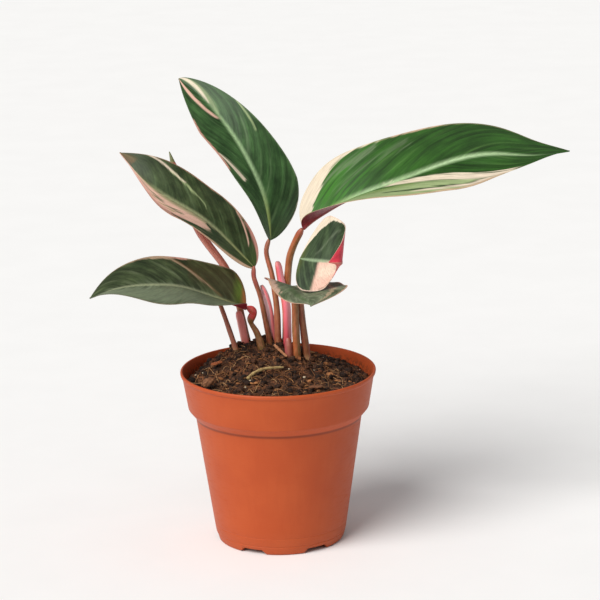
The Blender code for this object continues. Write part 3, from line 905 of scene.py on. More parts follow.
@dataclass(frozen=True)
class LeafFinish:
    """Colours and pattern of one blade."""

    deep: Colour
    light: Colour
    rib: Colour
    strokes: tuple[Stroke, ...]
    rib_base: Colour = ink(120, 136, 62)
    base: Colour = ink(84, 94, 46)
    margin: Colour = ink(226, 182, 166)
    margin_strength: float = 0.8
    vein: Colour = ink(112, 134, 92)
    vein_strength: float = 0.30
    sweep: float = 0.24
    veins: float = 15.0
    rib_width: float = 0.075
    rib_strength: float = 0.9
    rib_fade: Pair = (0.9, 0.55)
    roughness: float = 0.42
    shine: float = 0.22
    base_reach: float = 0.12
    contrast: float = 0.5
    wine: Colour = ink(150, 40, 46)

    def painted(self, pen: Tree, effects: Effects, under: bool) -> tuple[object, object, object, object]:
        """Lays out the pattern that both sides share.

        Args:
            pen: The tree.
            effects: The shared groups.
            under: Whether this is the wine-coloured underside.

        Returns:
            The colour, the vein outputs, the share along and the place across.
        """
        along, around = pen.place()
        across = pen.math("MULTIPLY_ADD", around, 2.0, -1.0)
        veins = pen.use(
            effects.veins, along=along, across=across, sweep=self.sweep, count=self.veins,
            rib_width=self.rib_width,
        )
        cloud = pen.span(pen.stretched(along, across, (7.0, 1.6)), 0.3, 0.7)
        if under:
            colour = pen.mix(cloud, self.wine, shaded(self.wine, 0.62))
            colour = pen.coat(colour, UNDER_VEIN, veins["Vein"], 0.4)
        else:
            colour = pen.mix(cloud, self.deep, self.light)
            colour = pen.coat(colour, self.base, pen.span(along, self.base_reach, 0.0), 0.85)
            bands = pen.span(
                veins["Bands"], 0.36, 0.64, 1.0 - self.contrast * 0.45, 1.0 + self.contrast * 0.4
            )
            colour = pen.darkened(colour, bands)
            dark, pale = pen.span(veins["Streaks"], 0.50, 0.70), pen.span(veins["Streaks"], 0.44, 0.26)
            colour = pen.coat(colour, shaded(self.deep, 0.55), dark, self.contrast)
            colour = pen.coat(colour, shaded(self.light, 1.5), pale, self.contrast)
            colour = pen.coat(colour, self.vein, veins["Vein"], self.vein_strength)
        for stroke in self.strokes:
            mask = pen.use(
                effects.stroke, along=along, across=across, streaks=veins["Streaks"],
                start_along=stroke.start[0], start_across=stroke.start[1],
                end_along=stroke.end[0], end_across=stroke.end[1],
                start_width=stroke.width[0], end_width=stroke.width[1], bow=stroke.bow,
                thinning=stroke.thinning, ragged=stroke.ragged, feather=stroke.feather,
            )[0]
            tint, strength = stroke.ink.value, stroke.strength
            if under:
                tint = UNDER_CREAM if stroke.ink in (Ink.CREAM, Ink.BLUSH, Ink.PINK) else self.wine
                strength *= 0.75
            colour = pen.coat(colour, tint, mask, strength)
        return colour, veins, along, across

    def upper(self, name: str, effects: Effects) -> bpy.types.Material:
        """The glossy patterned upper side.

        Args:
            name: The material's name.
            effects: The shared groups.

        Returns:
            The material.
        """
        made, pen, shader = new_material(name)
        colour, veins, along, across = self.painted(pen, effects, False)
        rib_tint = pen.mix(pen.span(along, 0.30, 0.05), self.rib, self.rib_base)
        fade = pen.span(along, *self.rib_fade, 0.0, self.rib_strength)
        colour = pen.coat(colour, rib_tint, veins["Rib"], fade)
        away = pen.math("ABSOLUTE", across)
        shake = pen.math("MULTIPLY_ADD", veins["Streaks"], 0.05, 0.93)
        rim = pen.span(away, shake, pen.math("ADD", shake, 0.03))
        colour = pen.coat(colour, self.margin, rim, self.margin_strength)
        grain = pen.span(veins["Mottle"], 0.3, 0.7, 0.86, 1.12)
        tint = pen.times(pen.math("MULTIPLY_ADD", veins["Fine"], 0.10, 0.95), grain)
        colour = pen.darkened(colour, tint)
        relief = pen.math("MULTIPLY_ADD", veins["Fine"], 0.3, pen.times(veins["Ridge"], 0.5))
        gloss = (veins["Streaks"], 0.10, self.roughness - 0.05)
        finish_with(pen, shader, colour, gloss, (relief, 0.3, 0.08))
        shader.inputs["Specular IOR Level"].default_value = self.shine
        return made

    def under(self, name: str, effects: Effects) -> bpy.types.Material:
        """The wine-coloured underside, with its stout midrib.

        Args:
            name: The material's name.
            effects: The shared groups.

        Returns:
            The material.
        """
        made, pen, shader = new_material(name)
        colour, veins, _, across = self.painted(pen, effects, True)
        colour = pen.coat(colour, UNDER_RIB, veins["Rib"], 0.8)
        away = pen.math("ABSOLUTE", across)
        colour = pen.mix(pen.span(away, 0.94, 0.985), colour, UNDER_MARGIN)
        relief = pen.math("MULTIPLY_ADD", veins["Fine"], 0.4, pen.times(veins["Ridge"], 0.6))
        finish_with(pen, shader, colour, (veins["Streaks"], 0.2, 0.38), (relief, 0.5, 0.12))
        return made


@dataclass(frozen=True)
class Half:
    """One side of a blade: its greatest width, where that falls, and how it folds."""

    width: float
    belly: float
    blunt: float
    taper: float
    fold: Point
    curl: float
    cup: float = 0.0

    def widths(self, share: np.ndarray) -> np.ndarray:
        """Half widths of the side, from a round base to a drawn-out tip.

        Args:
            share: Places along the blade, as shares of its length.

        Returns:
            The half widths in millimetres.
        """
        low = (1 - np.clip(1 - share / self.belly, 0, 1) ** 2.2) ** 0.55
        past = np.clip((share - self.belly) / (1 - self.belly), 0, 1)
        high = (1 - past**self.taper) ** self.blunt
        least = 0.9 + (0.35 - 0.9) * share
        return np.maximum(self.width * np.where(share < self.belly, low, high), least)


@dataclass(frozen=True)
class LeafBlade:
    """One open leaf: its spine, the way that it faces, its two halves and its finish."""

    name: str
    spine: tuple[Point, ...]
    faces: tuple[Pair, ...]
    left: Half
    right: Half
    finish: LeafFinish
    rows: int = 150
    columns: int = 22
    lamina: float = 0.5
    margin: float = 0.24
    rib_depth: float = 0.9
    rib_height: float = 0.22
    rib_reach: float = 0.7  # half width of the raised rib above, and of the stout one below
    rib_reach_below: float = 1.1
    quilt: float = 0.05
    wave: float = 0.35
    waves: float = 3.2
    crowding: float = 1.15  # how much closer the columns stand towards the margin

    def surface(self, across: np.ndarray) -> np.ndarray:
        """The grid of points on the blade's middle surface.

        Args:
            across: Stations from the midrib, 0, to the margin, 1.

        Returns:
            The points, from the base and from the left margin.
        """
        share = np.linspace(0, 1, self.rows + 1)
        path, tangent = smooth_path(self.spine, share)
        turn, rise = np.radians(np.asarray(self.faces, float)).T
        looks = np.stack([np.cos(rise) * np.sin(turn), -np.cos(rise) * np.cos(turn), np.sin(rise)], 1)
        facing = unit(natural_spline(np.linspace(0, 1, len(looks)), looks, share))
        normal = unit(facing - (facing * tangent).sum(1, keepdims=True) * tangent)
        side = np.cross(normal, tangent)
        columns = {0: path}
        for sign, half in ((1, self.left), (-1, self.right)):
            width = half.widths(share)
            fold = natural_spline((0, 0.5, 1), half.fold, share)
            fold = np.radians(fold + half.cup * np.exp(-share / CUP_REACH))
            curl = math.radians(half.curl) * np.sin(math.pi * share)
            point = path
            for k in range(1, len(across)):
                t = (across[k - 1] + across[k]) / 2
                angle = (fold + curl * t)[:, None]
                reach = (width * (across[k] - across[k - 1]))[:, None]
                point = point + (sign * side * np.cos(angle) + normal * np.sin(angle)) * reach
                columns[-sign * k] = point
        order = range(-len(across) + 1, len(across))
        return np.stack([columns[k] for k in order], 1)

    def relief(self, share: np.ndarray, across: np.ndarray, wide: np.ndarray) -> np.ndarray:
        """Height of the swellings between the side veins and of the rib above.

        Args:
            share: Place along the blade, for each point.
            across: Place across it, from -1 to 1.
            wide: The half width there, in millimetres.

        Returns:
            The height in millimetres.
        """
        away = np.abs(across)
        flow = share - self.finish.sweep * away**VEIN_CURVE
        drift = 0.35 * np.sin(9.0 * flow + 2.0 * np.sign(across))
        wave = np.cos(2 * math.pi * (self.finish.veins * flow + drift))
        inward = np.clip(away / 0.25, 0, 1) * np.clip((1 - away) / 0.3, 0, 1)
        fade = inward * np.sin(math.pi * share) ** 0.5
        rib = self.rib_height * np.exp(-((away * wide / self.rib_reach) ** 2)) * (1 - share) ** 0.4
        return self.quilt * wave * fade + rib

    def mesh_points(self) -> tuple[np.ndarray, np.ndarray, np.ndarray]:
        """The upper and lower skins.

        Returns:
            The upper grid, the lower grid and the place across of each point.
        """
        stations = 1 - (1 - np.linspace(0, 1, self.columns + 1)) ** self.crowding
        grid = self.surface(stations)
        normal = surface_normals(grid)
        rows, columns = grid.shape[:2]
        share = np.broadcast_to(np.linspace(0, 1, rows)[:, None], (rows, columns))
        across = np.broadcast_to(np.r_[-stations[:0:-1], stations][None], (rows, columns))
        left, right = (half.widths(share[:, 0])[:, None] for half in (self.left, self.right))
        wide = np.where(across < 0, left, right)
        outer = np.clip((np.abs(across) - 0.7) / 0.3, 0, 1)
        thick = self.lamina + (self.margin - self.lamina) * outer**2
        phase = self.waves * share + 0.25 * np.sign(across)
        ripple = np.sin(2 * math.pi * phase) * np.abs(across) ** 2.5
        body = grid + normal * (self.wave * ripple * np.sin(math.pi * share) ** 2)[..., None]
        relief = self.relief(share, across, wide)
        off_rib = np.abs(across) * wide / self.rib_reach_below
        rib = self.rib_depth * (1 - share) ** 0.6 * np.exp(-(off_rib**2))
        upper = body + normal * (thick / 2 + relief)[..., None]
        lower = body - normal * (thick / 2 - 0.8 * relief + rib)[..., None]
        return upper, lower, across

    def fitted(self, skins: Sequence[np.ndarray]) -> list[np.ndarray]:
        """Seats the skins in the box of the CAD leaf.

        Args:
            skins: Grids of points in millimetres.

        Returns:
            The grids, moved and scaled to fill the CAD leaf's box.
        """
        low, high = (np.array(corner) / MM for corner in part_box(self.name))
        every = np.concatenate([skin.reshape(-1, 3) for skin in skins])
        own_low, own_high = every.min(0), every.max(0)
        scale = (high - low) / (own_high - own_low)
        LOG.info("%s: seated at scale %s", self.name, np.round(scale, 4))
        return [low + (skin - own_low) * scale for skin in skins]

    def build(self, effects: Effects) -> bpy.types.Object:
        """Builds the blade and dresses both sides.

        Args:
            effects: The shared groups.

        Returns:
            The piece.
        """
        upper, lower, across = self.mesh_points()
        upper, lower = self.fitted((upper, lower))
        shell = Shell()
        add_sandwich(shell, upper, lower, (0, 1), 0.5 + 0.5 * across)
        upper_side = self.finish.upper(self.name + "_upper", effects)
        under_side = self.finish.under(self.name + "_under", effects)
        made = shell.build(self.name + "_blade", [upper_side, under_side])
        return declare(made, self.name, self.name)


GREEN_DARK = ink(38, 64, 32)
GREEN_SOFT = ink(60, 92, 50)
RIB_PALE = ink(152, 180, 134)

TOP_FINISH = LeafFinish(
    deep=GREEN_DARK, light=GREEN_SOFT, rib=RIB_PALE,
    strokes=(
        Stroke(Ink.CREAM, (0.32, -0.62), (0.50, -0.93), (0.09, 0.02), thinning=0.8),
        Stroke(Ink.PINK, (0.40, -0.99), (0.74, -1.0), (0.05, 0.05), strength=0.9),
        Stroke(Ink.BLUSH, (0.68, -0.03), (1.02, -0.55), (0.04, 0.18), bow=0.5, thinning=0.8, feather=0.05),
        Stroke(Ink.PALE, (0.70, 0.02), (0.98, 0.60), (0.05, 0.30), bow=1.1, strength=0.55, feather=0.09),
        Stroke(Ink.CREAM, (0.78, 0.05), (1.02, 0.80), (0.02, 0.26), bow=1.2, strength=0.85, feather=0.08),
        Stroke(Ink.PALE, (0.53, 0.70), (0.70, 0.98), (0.025, 0.02), bow=0.8, strength=0.8),
        Stroke(Ink.CREAM, (0.06, 1.0), (0.16, 1.02), (0.05, 0.02), strength=0.8),
    ),
    rib_base=ink(164, 184, 96), base=ink(56, 84, 30), margin=ink(150, 160, 126),
    margin_strength=0.2, vein=ink(108, 136, 92), vein_strength=0.36, sweep=0.34, veins=8.0,
    rib_width=0.13,
)

RIGHT_FINISH = LeafFinish(
    deep=ink(30, 62, 18), light=ink(42, 82, 26), rib=ink(164, 192, 144),
    strokes=(
        # painted sheen: two pale streaks of reflected light over the lower part of the left half
        Stroke(
            Ink.PAINTED_SHEEN, (0.04, -0.50), (0.34, -0.86), (0.02, 0.05), bow=0.8, ragged=0.5, strength=0.45,
            feather=0.06,
        ),
        Stroke(
            Ink.PAINTED_SHEEN, (0.14, -0.30), (0.46, -0.80), (0.02, 0.05), bow=0.8, ragged=0.5, strength=0.3,
            feather=0.06,
        ),
        Stroke(Ink.CREAM, (-0.05, -1.04), (0.36, -1.03), (1.60, 0.04), thinning=2.8, feather=0.02),
        Stroke(Ink.PALE, (0.06, 0.50), (0.66, 0.90), (0.50, 0.16), bow=1.3, ragged=0.4, feather=0.08),
        Stroke(Ink.LIME, (0.05, 0.25), (0.45, 0.40), (0.20, 0.10), strength=0.5, feather=0.15),
        Stroke(Ink.CREAM, (0.34, 0.02), (0.82, 0.97), (0.10, 0.09), bow=0.85, ragged=0.22),
        Stroke(Ink.DEEP, (0.34, 0.66), (0.72, 0.97), (0.03, 0.05), ragged=0.2),
        Stroke(Ink.CREAM, (0.44, 0.82), (0.76, 0.97), (0.03, 0.03), ragged=0.2),
        Stroke(Ink.BUFF, (0.18, 1.0), (0.78, 1.02), (0.04, 0.07)),
        Stroke(Ink.BLUSH, (0.42, -1.02), (0.60, -1.02), (0.04, 0.03)),
    ),
    rib_base=ink(126, 160, 66), base=ink(54, 112, 26), base_reach=0.6, contrast=0.65,
    margin=ink(190, 176, 140), margin_strength=0.3, wine=ink(128, 34, 40), vein=ink(92, 132, 66),
    vein_strength=0.32, sweep=0.40, veins=9.0, rib_width=0.13, rib_strength=0.85,
    rib_fade=(0.99, 0.74), roughness=0.40, shine=0.25,
)

UPPER_LEFT_FINISH = LeafFinish(
    deep=ink(40, 54, 30), light=ink(64, 78, 48), rib=ink(150, 156, 116),
    strokes=(
        Stroke(Ink.BUFF, (-0.05, -1.05), (0.42, -1.03), (0.62, 0.05), thinning=2.0, feather=0.05),
        Stroke(
            Ink.STRAW, (0.30, -0.30), (1.02, -0.30), (0.22, 0.24), ragged=0.25, strength=0.8,
            feather=0.1,
        ),
        Stroke(
            Ink.BLUSH, (0.31, -0.52), (1.02, -0.66), (0.26, 0.42), ragged=0.2, strength=0.9,
            feather=0.1,
        ),
        Stroke(Ink.PINK, (0.44, -0.92), (1.02, -0.94), (0.12, 0.24), ragged=0.2, strength=0.5, feather=0.1),
        Stroke(
            Ink.MID, (0.46, -0.52), (0.66, -0.62), (0.07, 0.03), ragged=0.5, strength=0.75,
            feather=0.05,
        ),
        Stroke(
            Ink.MID, (0.60, -0.50), (0.90, -0.60), (0.05, 0.04), ragged=0.5, strength=0.55,
            feather=0.05,
        ),
        Stroke(
            Ink.LIME, (0.50, -0.68), (0.68, -0.80), (0.05, 0.03), ragged=0.5, strength=0.5,
            feather=0.05,
        ),
        Stroke(Ink.DEEP, (0.24, -0.60), (0.44, -0.96), (0.07, 0.08), bow=1.2),
        Stroke(Ink.DEEP, (0.38, -0.97), (0.52, -0.86), (0.08, 0.02)),
        Stroke(Ink.DEEP, (0.26, -0.36), (0.345, -0.14), (0.16, 0.05)),
        Stroke(Ink.PALE, (0.41, 0.32), (0.72, 0.74), (0.02, 0.03), bow=0.6),
        Stroke(Ink.CREAM, (0.60, 0.66), (0.88, 1.0), (0.02, 0.035), bow=1.5, strength=0.85),
        Stroke(Ink.BLUSH, (0.10, 0.52), (0.30, 0.96), (0.01, 0.02), bow=0.6, strength=0.9),
        Stroke(Ink.BUFF, (0.24, 1.0), (0.60, 1.02), (0.04, 0.03), strength=0.8),
        Stroke(Ink.PINK, (-0.05, 1.06), (0.22, 1.03), (0.36, 0.08), strength=0.7, feather=0.06),
        # painted shade: a brownish darkening over the tip
        Stroke(Ink.BROWN, (0.90, 0.3), (1.05, 0.3), (0.2, 0.7), strength=0.6, feather=0.25),
    ),
    rib_base=ink(150, 154, 100), base=ink(60, 76, 34), margin=ink(184, 142, 120),
    margin_strength=0.45, vein_strength=0.26, sweep=0.30, veins=8.0, rib_width=0.11,
    rib_strength=0.75, roughness=0.44,
)

LOWER_LEFT_FINISH = LeafFinish(
    deep=ink(44, 56, 32), light=ink(70, 82, 52), rib=ink(152, 158, 124),
    strokes=(
        # painted sheen: a broad pale reflection over the left half
        Stroke(Ink.PAINTED_SHEEN, (0.05, -0.55), (1.0, -0.5), (0.5, 0.5), strength=0.65, feather=0.25, ragged=0.8),
        Stroke(Ink.UMBER, (0.0, 0.50), (0.38, 0.66), (0.55, 0.3), strength=0.6, feather=0.35),
        Stroke(Ink.LIME, (-0.30, 0.55), (0.10, 0.60), (0.5, 0.4), strength=0.35, feather=0.4),
        Stroke(Ink.LIME, (-0.30, 0.55), (0.075, 0.60), (0.5, 0.4), strength=0.5, feather=0.4),
        Stroke(Ink.RUST, (-0.30, 0.60), (0.04, 0.62), (0.6, 0.4), strength=0.85, feather=0.3),
        Stroke(Ink.BROWN, (-0.05, 0.95), (0.10, 0.99), (0.2, 0.06), strength=0.8, feather=0.1),
        Stroke(Ink.BROWN, (0.16, 0.10), (0.46, 0.90), (0.03, 0.07), bow=1.15, strength=0.4),
        Stroke(Ink.BUFF, (0.18, 0.14), (0.47, 0.90), (0.0, 0.04), bow=1.15, strength=0.6, feather=0.045),
        Stroke(Ink.BUFF, (0.36, 1.0), (0.60, 1.0), (0.04, 0.10), thinning=0.6, strength=0.8),
        Stroke(Ink.PINK, (0.38, 0.98), (0.50, 1.0), (0.04, 0.05), strength=0.8),
        Stroke(Ink.BUFF, (0.46, 0.98), (0.88, 1.04), (0.10, 0.04), thinning=1.4, strength=0.7),
    ),
    rib_base=ink(140, 142, 92), base=ink(60, 64, 30), margin=ink(176, 150, 126),
    margin_strength=0.3, vein=ink(118, 128, 96), vein_strength=0.4, sweep=0.26, veins=9.0,
    rib_width=0.10, rib_strength=0.75, rib_fade=(1.0, 0.85), roughness=0.40, shine=0.3,
    contrast=0.7, wine=ink(150, 36, 50),
)

CURLED_FINISH = LeafFinish(
    deep=ink(40, 54, 34), light=ink(60, 76, 50), rib=ink(140, 160, 126),
    strokes=(
        Stroke(Ink.CREAM, (-0.05, -1.04), (0.62, -1.02), (0.50, 0.06), thinning=1.1, feather=0.02),
        Stroke(Ink.BLUSH, (0.33, 0.50), (0.98, 0.5), (0.50, 0.62), ragged=0.12, thinning=0.4),
        Stroke(Ink.CREAM, (0.36, 0.35), (0.80, 0.4), (0.20, 0.3), ragged=0.2, strength=0.6, feather=0.15),
        Stroke(Ink.BROWN, (0.42, 0.98), (0.62, 1.0), (0.06, 0.05), strength=0.5),
        # painted sheen: a thin pale streak of reflected light
        Stroke(Ink.PAINTED_SHEEN, (0.25, -0.15), (0.62, -0.80), (0.02, 0.03), bow=1.2, strength=0.4, feather=0.05),
    ),
    rib_base=ink(134, 156, 120), margin=ink(214, 188, 170), veins=7.0, rib_fade=(0.62, 0.40),
    roughness=0.5, shine=0.15, wine=ink(220, 48, 70),
)

FRONT_FINISH = LeafFinish(
    deep=ink(78, 90, 64), light=ink(116, 122, 98), rib=ink(146, 158, 124),
    strokes=(
        Stroke(Ink.MID, (0.10, -0.45), (0.75, -0.30), (0.12, 0.10), ragged=0.4, strength=0.7, feather=0.08),
        Stroke(Ink.BUFF, (0.15, -0.75), (0.95, -0.6), (0.04, 0.08), ragged=0.3, strength=0.5),
        Stroke(Ink.BUFF, (-0.05, -1.02), (1.02, -1.02), (0.08, 0.05), strength=0.9),
        Stroke(Ink.MID, (0.20, 0.30), (0.90, 0.35), (0.12, 0.10), ragged=0.4, strength=0.6, feather=0.08),
        Stroke(Ink.BLUSH, (0.10, 0.90), (0.60, 0.95), (0.20, 0.14), ragged=0.4, strength=0.7, feather=0.08),
        Stroke(Ink.BUFF, (-0.05, 1.02), (1.02, 1.02), (0.08, 0.06), strength=0.9),
    ),
    rib_base=ink(140, 150, 110), base=ink(88, 92, 62), margin=ink(198, 154, 132),
    margin_strength=0.7, vein_strength=0.36, sweep=0.28, veins=8.0, rib_width=0.09,
    rib_strength=0.6, roughness=0.5, shine=0.2,
)

REAR_FINISH = LeafFinish(
    deep=GREEN_DARK, light=GREEN_SOFT, rib=RIB_PALE,
    strokes=(
        Stroke(Ink.CREAM, (0.20, -0.2), (0.72, -0.95), (0.05, 0.12), bow=1.1),
        Stroke(Ink.BLUSH, (0.40, 0.10), (0.85, 0.90), (0.03, 0.10), bow=1.1),
        Stroke(Ink.PINK, (-0.05, 1.02), (0.6, 1.02), (0.2, 0.06), thinning=1.6, strength=0.8),
    ),
    margin=ink(206, 162, 146),
)

BLADES = (
    LeafBlade(
        "leaf_top",
        ((-3.1, 30, 157.2), (-6, 34, 178), (-13, 40, 196), (-23, 48, 213), (-36, 58, 228), (-52, 70, 240)),
        ((60, 22), (17, 34), (6, 27)),
        Half(18.0, 0.64, 0.93, 1.37, (16, 23, 13), -3),
        Half(22.5, 0.26, 0.62, 1.0, (7, 20, 15), -4),
        TOP_FINISH,
    ),
    LeafBlade(
        "leaf_right",
        (
            (13.5, 26.2, 164.3), (18, 25.5, 168.2), (25, 24.2, 173), (33.5, 21.8, 178.4),
            (52, 17, 187), (72, 13, 195), (93, 11, 203), (114, 9, 207), (135, 8, 206), (156, 8, 208),
        ),
        ((-59, 61), (-8, 41), (8, 2)),
        Half(24.8, 0.24, 0.9, 2.0, (37, 32, 13), 2),
        Half(23.0, 0.57, 2.35, 1.8, (40, 29, -5), 1, cup=45),
        RIGHT_FINISH,
        rows=190,
    ),
    LeafBlade(
        "leaf_upper_left",
        ((-12, 22, 144), (-25, 26, 157), (-39, 32, 169), (-56, 40, 178), (-72, 50, 188), (-85, 60, 201)),
        ((31, 38), (40, 23), (-10, 25)),
        Half(14.2, 0.49, 2.39, 1.35, (16, 22, 6), -2),
        Half(21.7, 0.47, 1.05, 2.92, (9, 3, 18), -9),
        UPPER_LEFT_FINISH,
    ),
    LeafBlade(
        "leaf_lower_left",
        (
            (-16.5, 14.5, 123.4), (-24.7, 11.6, 127.4), (-37, 8, 133), (-52, 0, 140), (-68, -8, 143),
            (-83, -14, 143), (-98, -18, 139),
        ),
        ((-23, 64), (-10, 49), (-2, 25)),
        Half(17.4, 0.5, 2.36, 1.9, (39, 19, 14), -5, cup=40),
        Half(19.7, 0.16, 1.02, 3.04, (33, 13, 20), -7),
        LOWER_LEFT_FINISH,
    ),
    LeafBlade(
        "leaf_curled",
        (
            (12.8, 0.5, 153.8), (19, -4, 153.9), (26, -8, 154.1), (31.6, -10.5, 154.3),
            (34.6, -13.2, 154.5), (33.6, -16.6, 155.2), (27.8, -17.8, 156.2),
        ),
        ((-36, 40), (-36, 38), (-40, 31), (-90, 14), (-160, 0)),
        Half(25.3, 0.34, 1.15, 2.4, (4, 8, 6), -2),
        Half(17.4, 0.25, 2.3, 2.5, (0, 3, 56), 0),
        CURLED_FINISH,
    ),
    LeafBlade(
        "leaf_front",
        ((8, 12, 136), (12, -2, 138), (15, -14, 138), (17, -24, 138), (18, -29, 135.5)),
        ((2, 81), (1, 77), (-10, 47)),
        Half(22.3, 0.75, 1.02, 2.17, (1, 10, -3), -8),
        Half(18.8, 0.25, 1.7, 3.18, (18, 21, -35), -4),
        FRONT_FINISH,
        rows=110,
    ),
    LeafBlade(
        "leaf_rear_left",
        ((-35.5, 30.5, 130), (-44, 37, 135.5), (-54.5, 45, 138), (-64.5, 52, 135.5), (-72.5, 57, 131)),
        ((-30, 60), (-30, 60), (-20, 50)),
        Half(8.0, 0.4, 1.1, 1.8, (20, 15, 5), -6),
        Half(8.0, 0.4, 1.1, 1.8, (20, 15, 5), -6),
        REAR_FINISH,
        rows=90, columns=14, quilt=0.04, wave=0.15,
    ),
)


# --- stalks, sheaths and the rolled young leaf -----------------------------------------------


@dataclass(frozen=True)
class StalkFinish:
    """Colours of a stalk: its two sides, its foot in the soil and its swollen joint."""

    left: Colour
    right: Colour
    foot: Colour
    joint: Colour
    shade: Colour = ink(86, 50, 30)
    pale: Colour = ink(204, 146, 104)
    moss: Colour = ink(106, 98, 42)
    blush: Colour = ink(204, 92, 82)
    foot_reach: float = 0.22
    joint_from: float = 0.86
    roughness: float = 0.40

    def dress(self, name: str, effects: Effects, shift: float) -> bpy.types.Material:
        """Makes the material.

        Args:
            name: The material's name.
            effects: The shared groups.
            shift: What moves this stalk's pattern away from the others'.

        Returns:
            The material.
        """
        made, pen, shader = new_material(name)
        along, around = pen.place()
        fibre = pen.use(effects.grain, along=along, around=around, shift=shift)
        sway = pen.math("MULTIPLY_ADD", fibre["Grain"], 0.2, pen.math("SUBTRACT", around, 0.1))
        colour = pen.mix(pen.span(sway, 0.25, 0.85), self.left, self.right)
        colour = pen.mix(pen.span(along, self.foot_reach, 0.04), colour, self.foot)
        near_joint = pen.span(along, self.joint_from - 0.05, self.joint_from + 0.04)
        colour = pen.mix(near_joint, colour, self.joint)
        strips = pen.stretched(along, around, (3.2, 7.0), shift)
        colour = pen.coat(colour, self.moss, pen.span(strips, 0.52, 0.66), 0.55)
        colour = pen.coat(colour, self.blush, pen.span(strips, 0.46, 0.32), 0.45)
        colour = pen.coat(colour, self.shade, fibre["Lines"], 0.40)
        colour = pen.coat(colour, self.pale, fibre["Blotch"], 0.22)
        gloss = (fibre["Grain"], 0.18, self.roughness - 0.08)
        finish_with(pen, shader, colour, gloss, (fibre["Grain"], 0.5, 0.12))
        return made


@dataclass(frozen=True)
class Stalk:
    """A leaf stalk from under the soil to the underside of its blade."""

    name: str
    points: tuple[Point, ...]
    foot: float
    top: float
    joint: float
    joint_length: float
    finish: StalkFinish
    reach: float = 1.9  # how far it runs on past the CAD stalk, into its blade
    ridge: float = 0.025
    knob: float = 0.025
    sides: int = 28
    rows: int = 120

    def build(self, effects: Effects, shift: float) -> bpy.types.Object:
        """Builds the stalk.

        Args:
            effects: The shared groups.
            shift: What moves its pattern away from the others'.

        Returns:
            The piece.
        """
        share = np.linspace(0, 1, self.rows)
        path, direction = smooth_path(self.points, share)
        end = path[-1] + direction[-1] * self.reach
        path, direction = smooth_path(np.vstack([path[:: self.rows // 12], path[-1:], end[None]]), share)
        length = np.linalg.norm(np.diff(path, axis=0), axis=1).sum()
        last = 1 - self.reach / length
        swell = last - self.joint_length / length
        knots = (0.0, swell - 0.06, swell + 0.03, last - 0.02, last + 0.3 * (1 - last), 1.0)
        sizes = (self.foot, self.top, self.joint, self.joint, 0.8 * self.joint, 0.45 * self.joint)
        radius = np.interp(share, knots, sizes)
        soften = np.ones(5) / 5
        radius[2:-2] = np.convolve(radius, soften, "valid")
        turn = np.linspace(0, 2 * math.pi, self.sides, endpoint=False)
        ribs = self.ridge * np.sin(7 * turn + shift) + 0.8 * self.ridge * np.sin(4 * turn + 3 * shift)
        knobs = self.knob * np.sin(26 * share + 5 * shift)
        fading = np.clip((0.9 - share) / 0.1, 0.2, 1)
        skin = radius[:, None] * (1 + ribs[None] * fading[:, None] + knobs[:, None])
        shell = Shell()
        tube_shell(shell, path, direction, skin, self.sides, (1, 0, 0))
        name = self.name + "_skin"
        made = shell.build(name, [self.finish.dress(name, effects, shift)])
        return declare(made, self.name, self.name)


@dataclass(frozen=True)
class SheathFinish:
    """Colours of a thin wing, from the edge seen first, over its back, to its far side."""

    near: Colour
    middle: Colour
    far: Colour
    low: Colour
    tip: Colour = ink(176, 110, 92)
    stops: Point = (0.03, 0.16, 0.36)
    roughness: float = 0.38

    def dress(self, name: str, effects: Effects, shift: float) -> bpy.types.Material:
        """Makes the material.

        Args:
            name: The material's name.
            effects: The shared groups.
            shift: What moves its pattern away from the others'.

        Returns:
            The material.
        """
        made, pen, shader = new_material(name)
        along, around = pen.place()
        fibre = pen.use(effects.grain, along=along, around=around, shift=shift, length=3.0, fineness=18.0)
        first, second, third = self.stops
        sway = pen.math("MULTIPLY_ADD", fibre["Grain"], 0.05, around)
        colour = pen.mix(pen.span(sway, first, second), self.near, self.middle)
        colour = pen.mix(pen.span(sway, second, third), colour, self.far)
        colour = pen.coat(colour, self.low, pen.span(along, 0.45, 0.1), 0.8)
        colour = pen.coat(colour, self.low, fibre["Lines"], 0.22)
        colour = pen.coat(colour, self.tip, pen.span(along, 0.93, 1.0), 0.5)
        gloss = (fibre["Grain"], 0.2, self.roughness - 0.08)
        finish_with(pen, shader, colour, gloss, (fibre["Grain"], 0.4, 0.08))
        return made


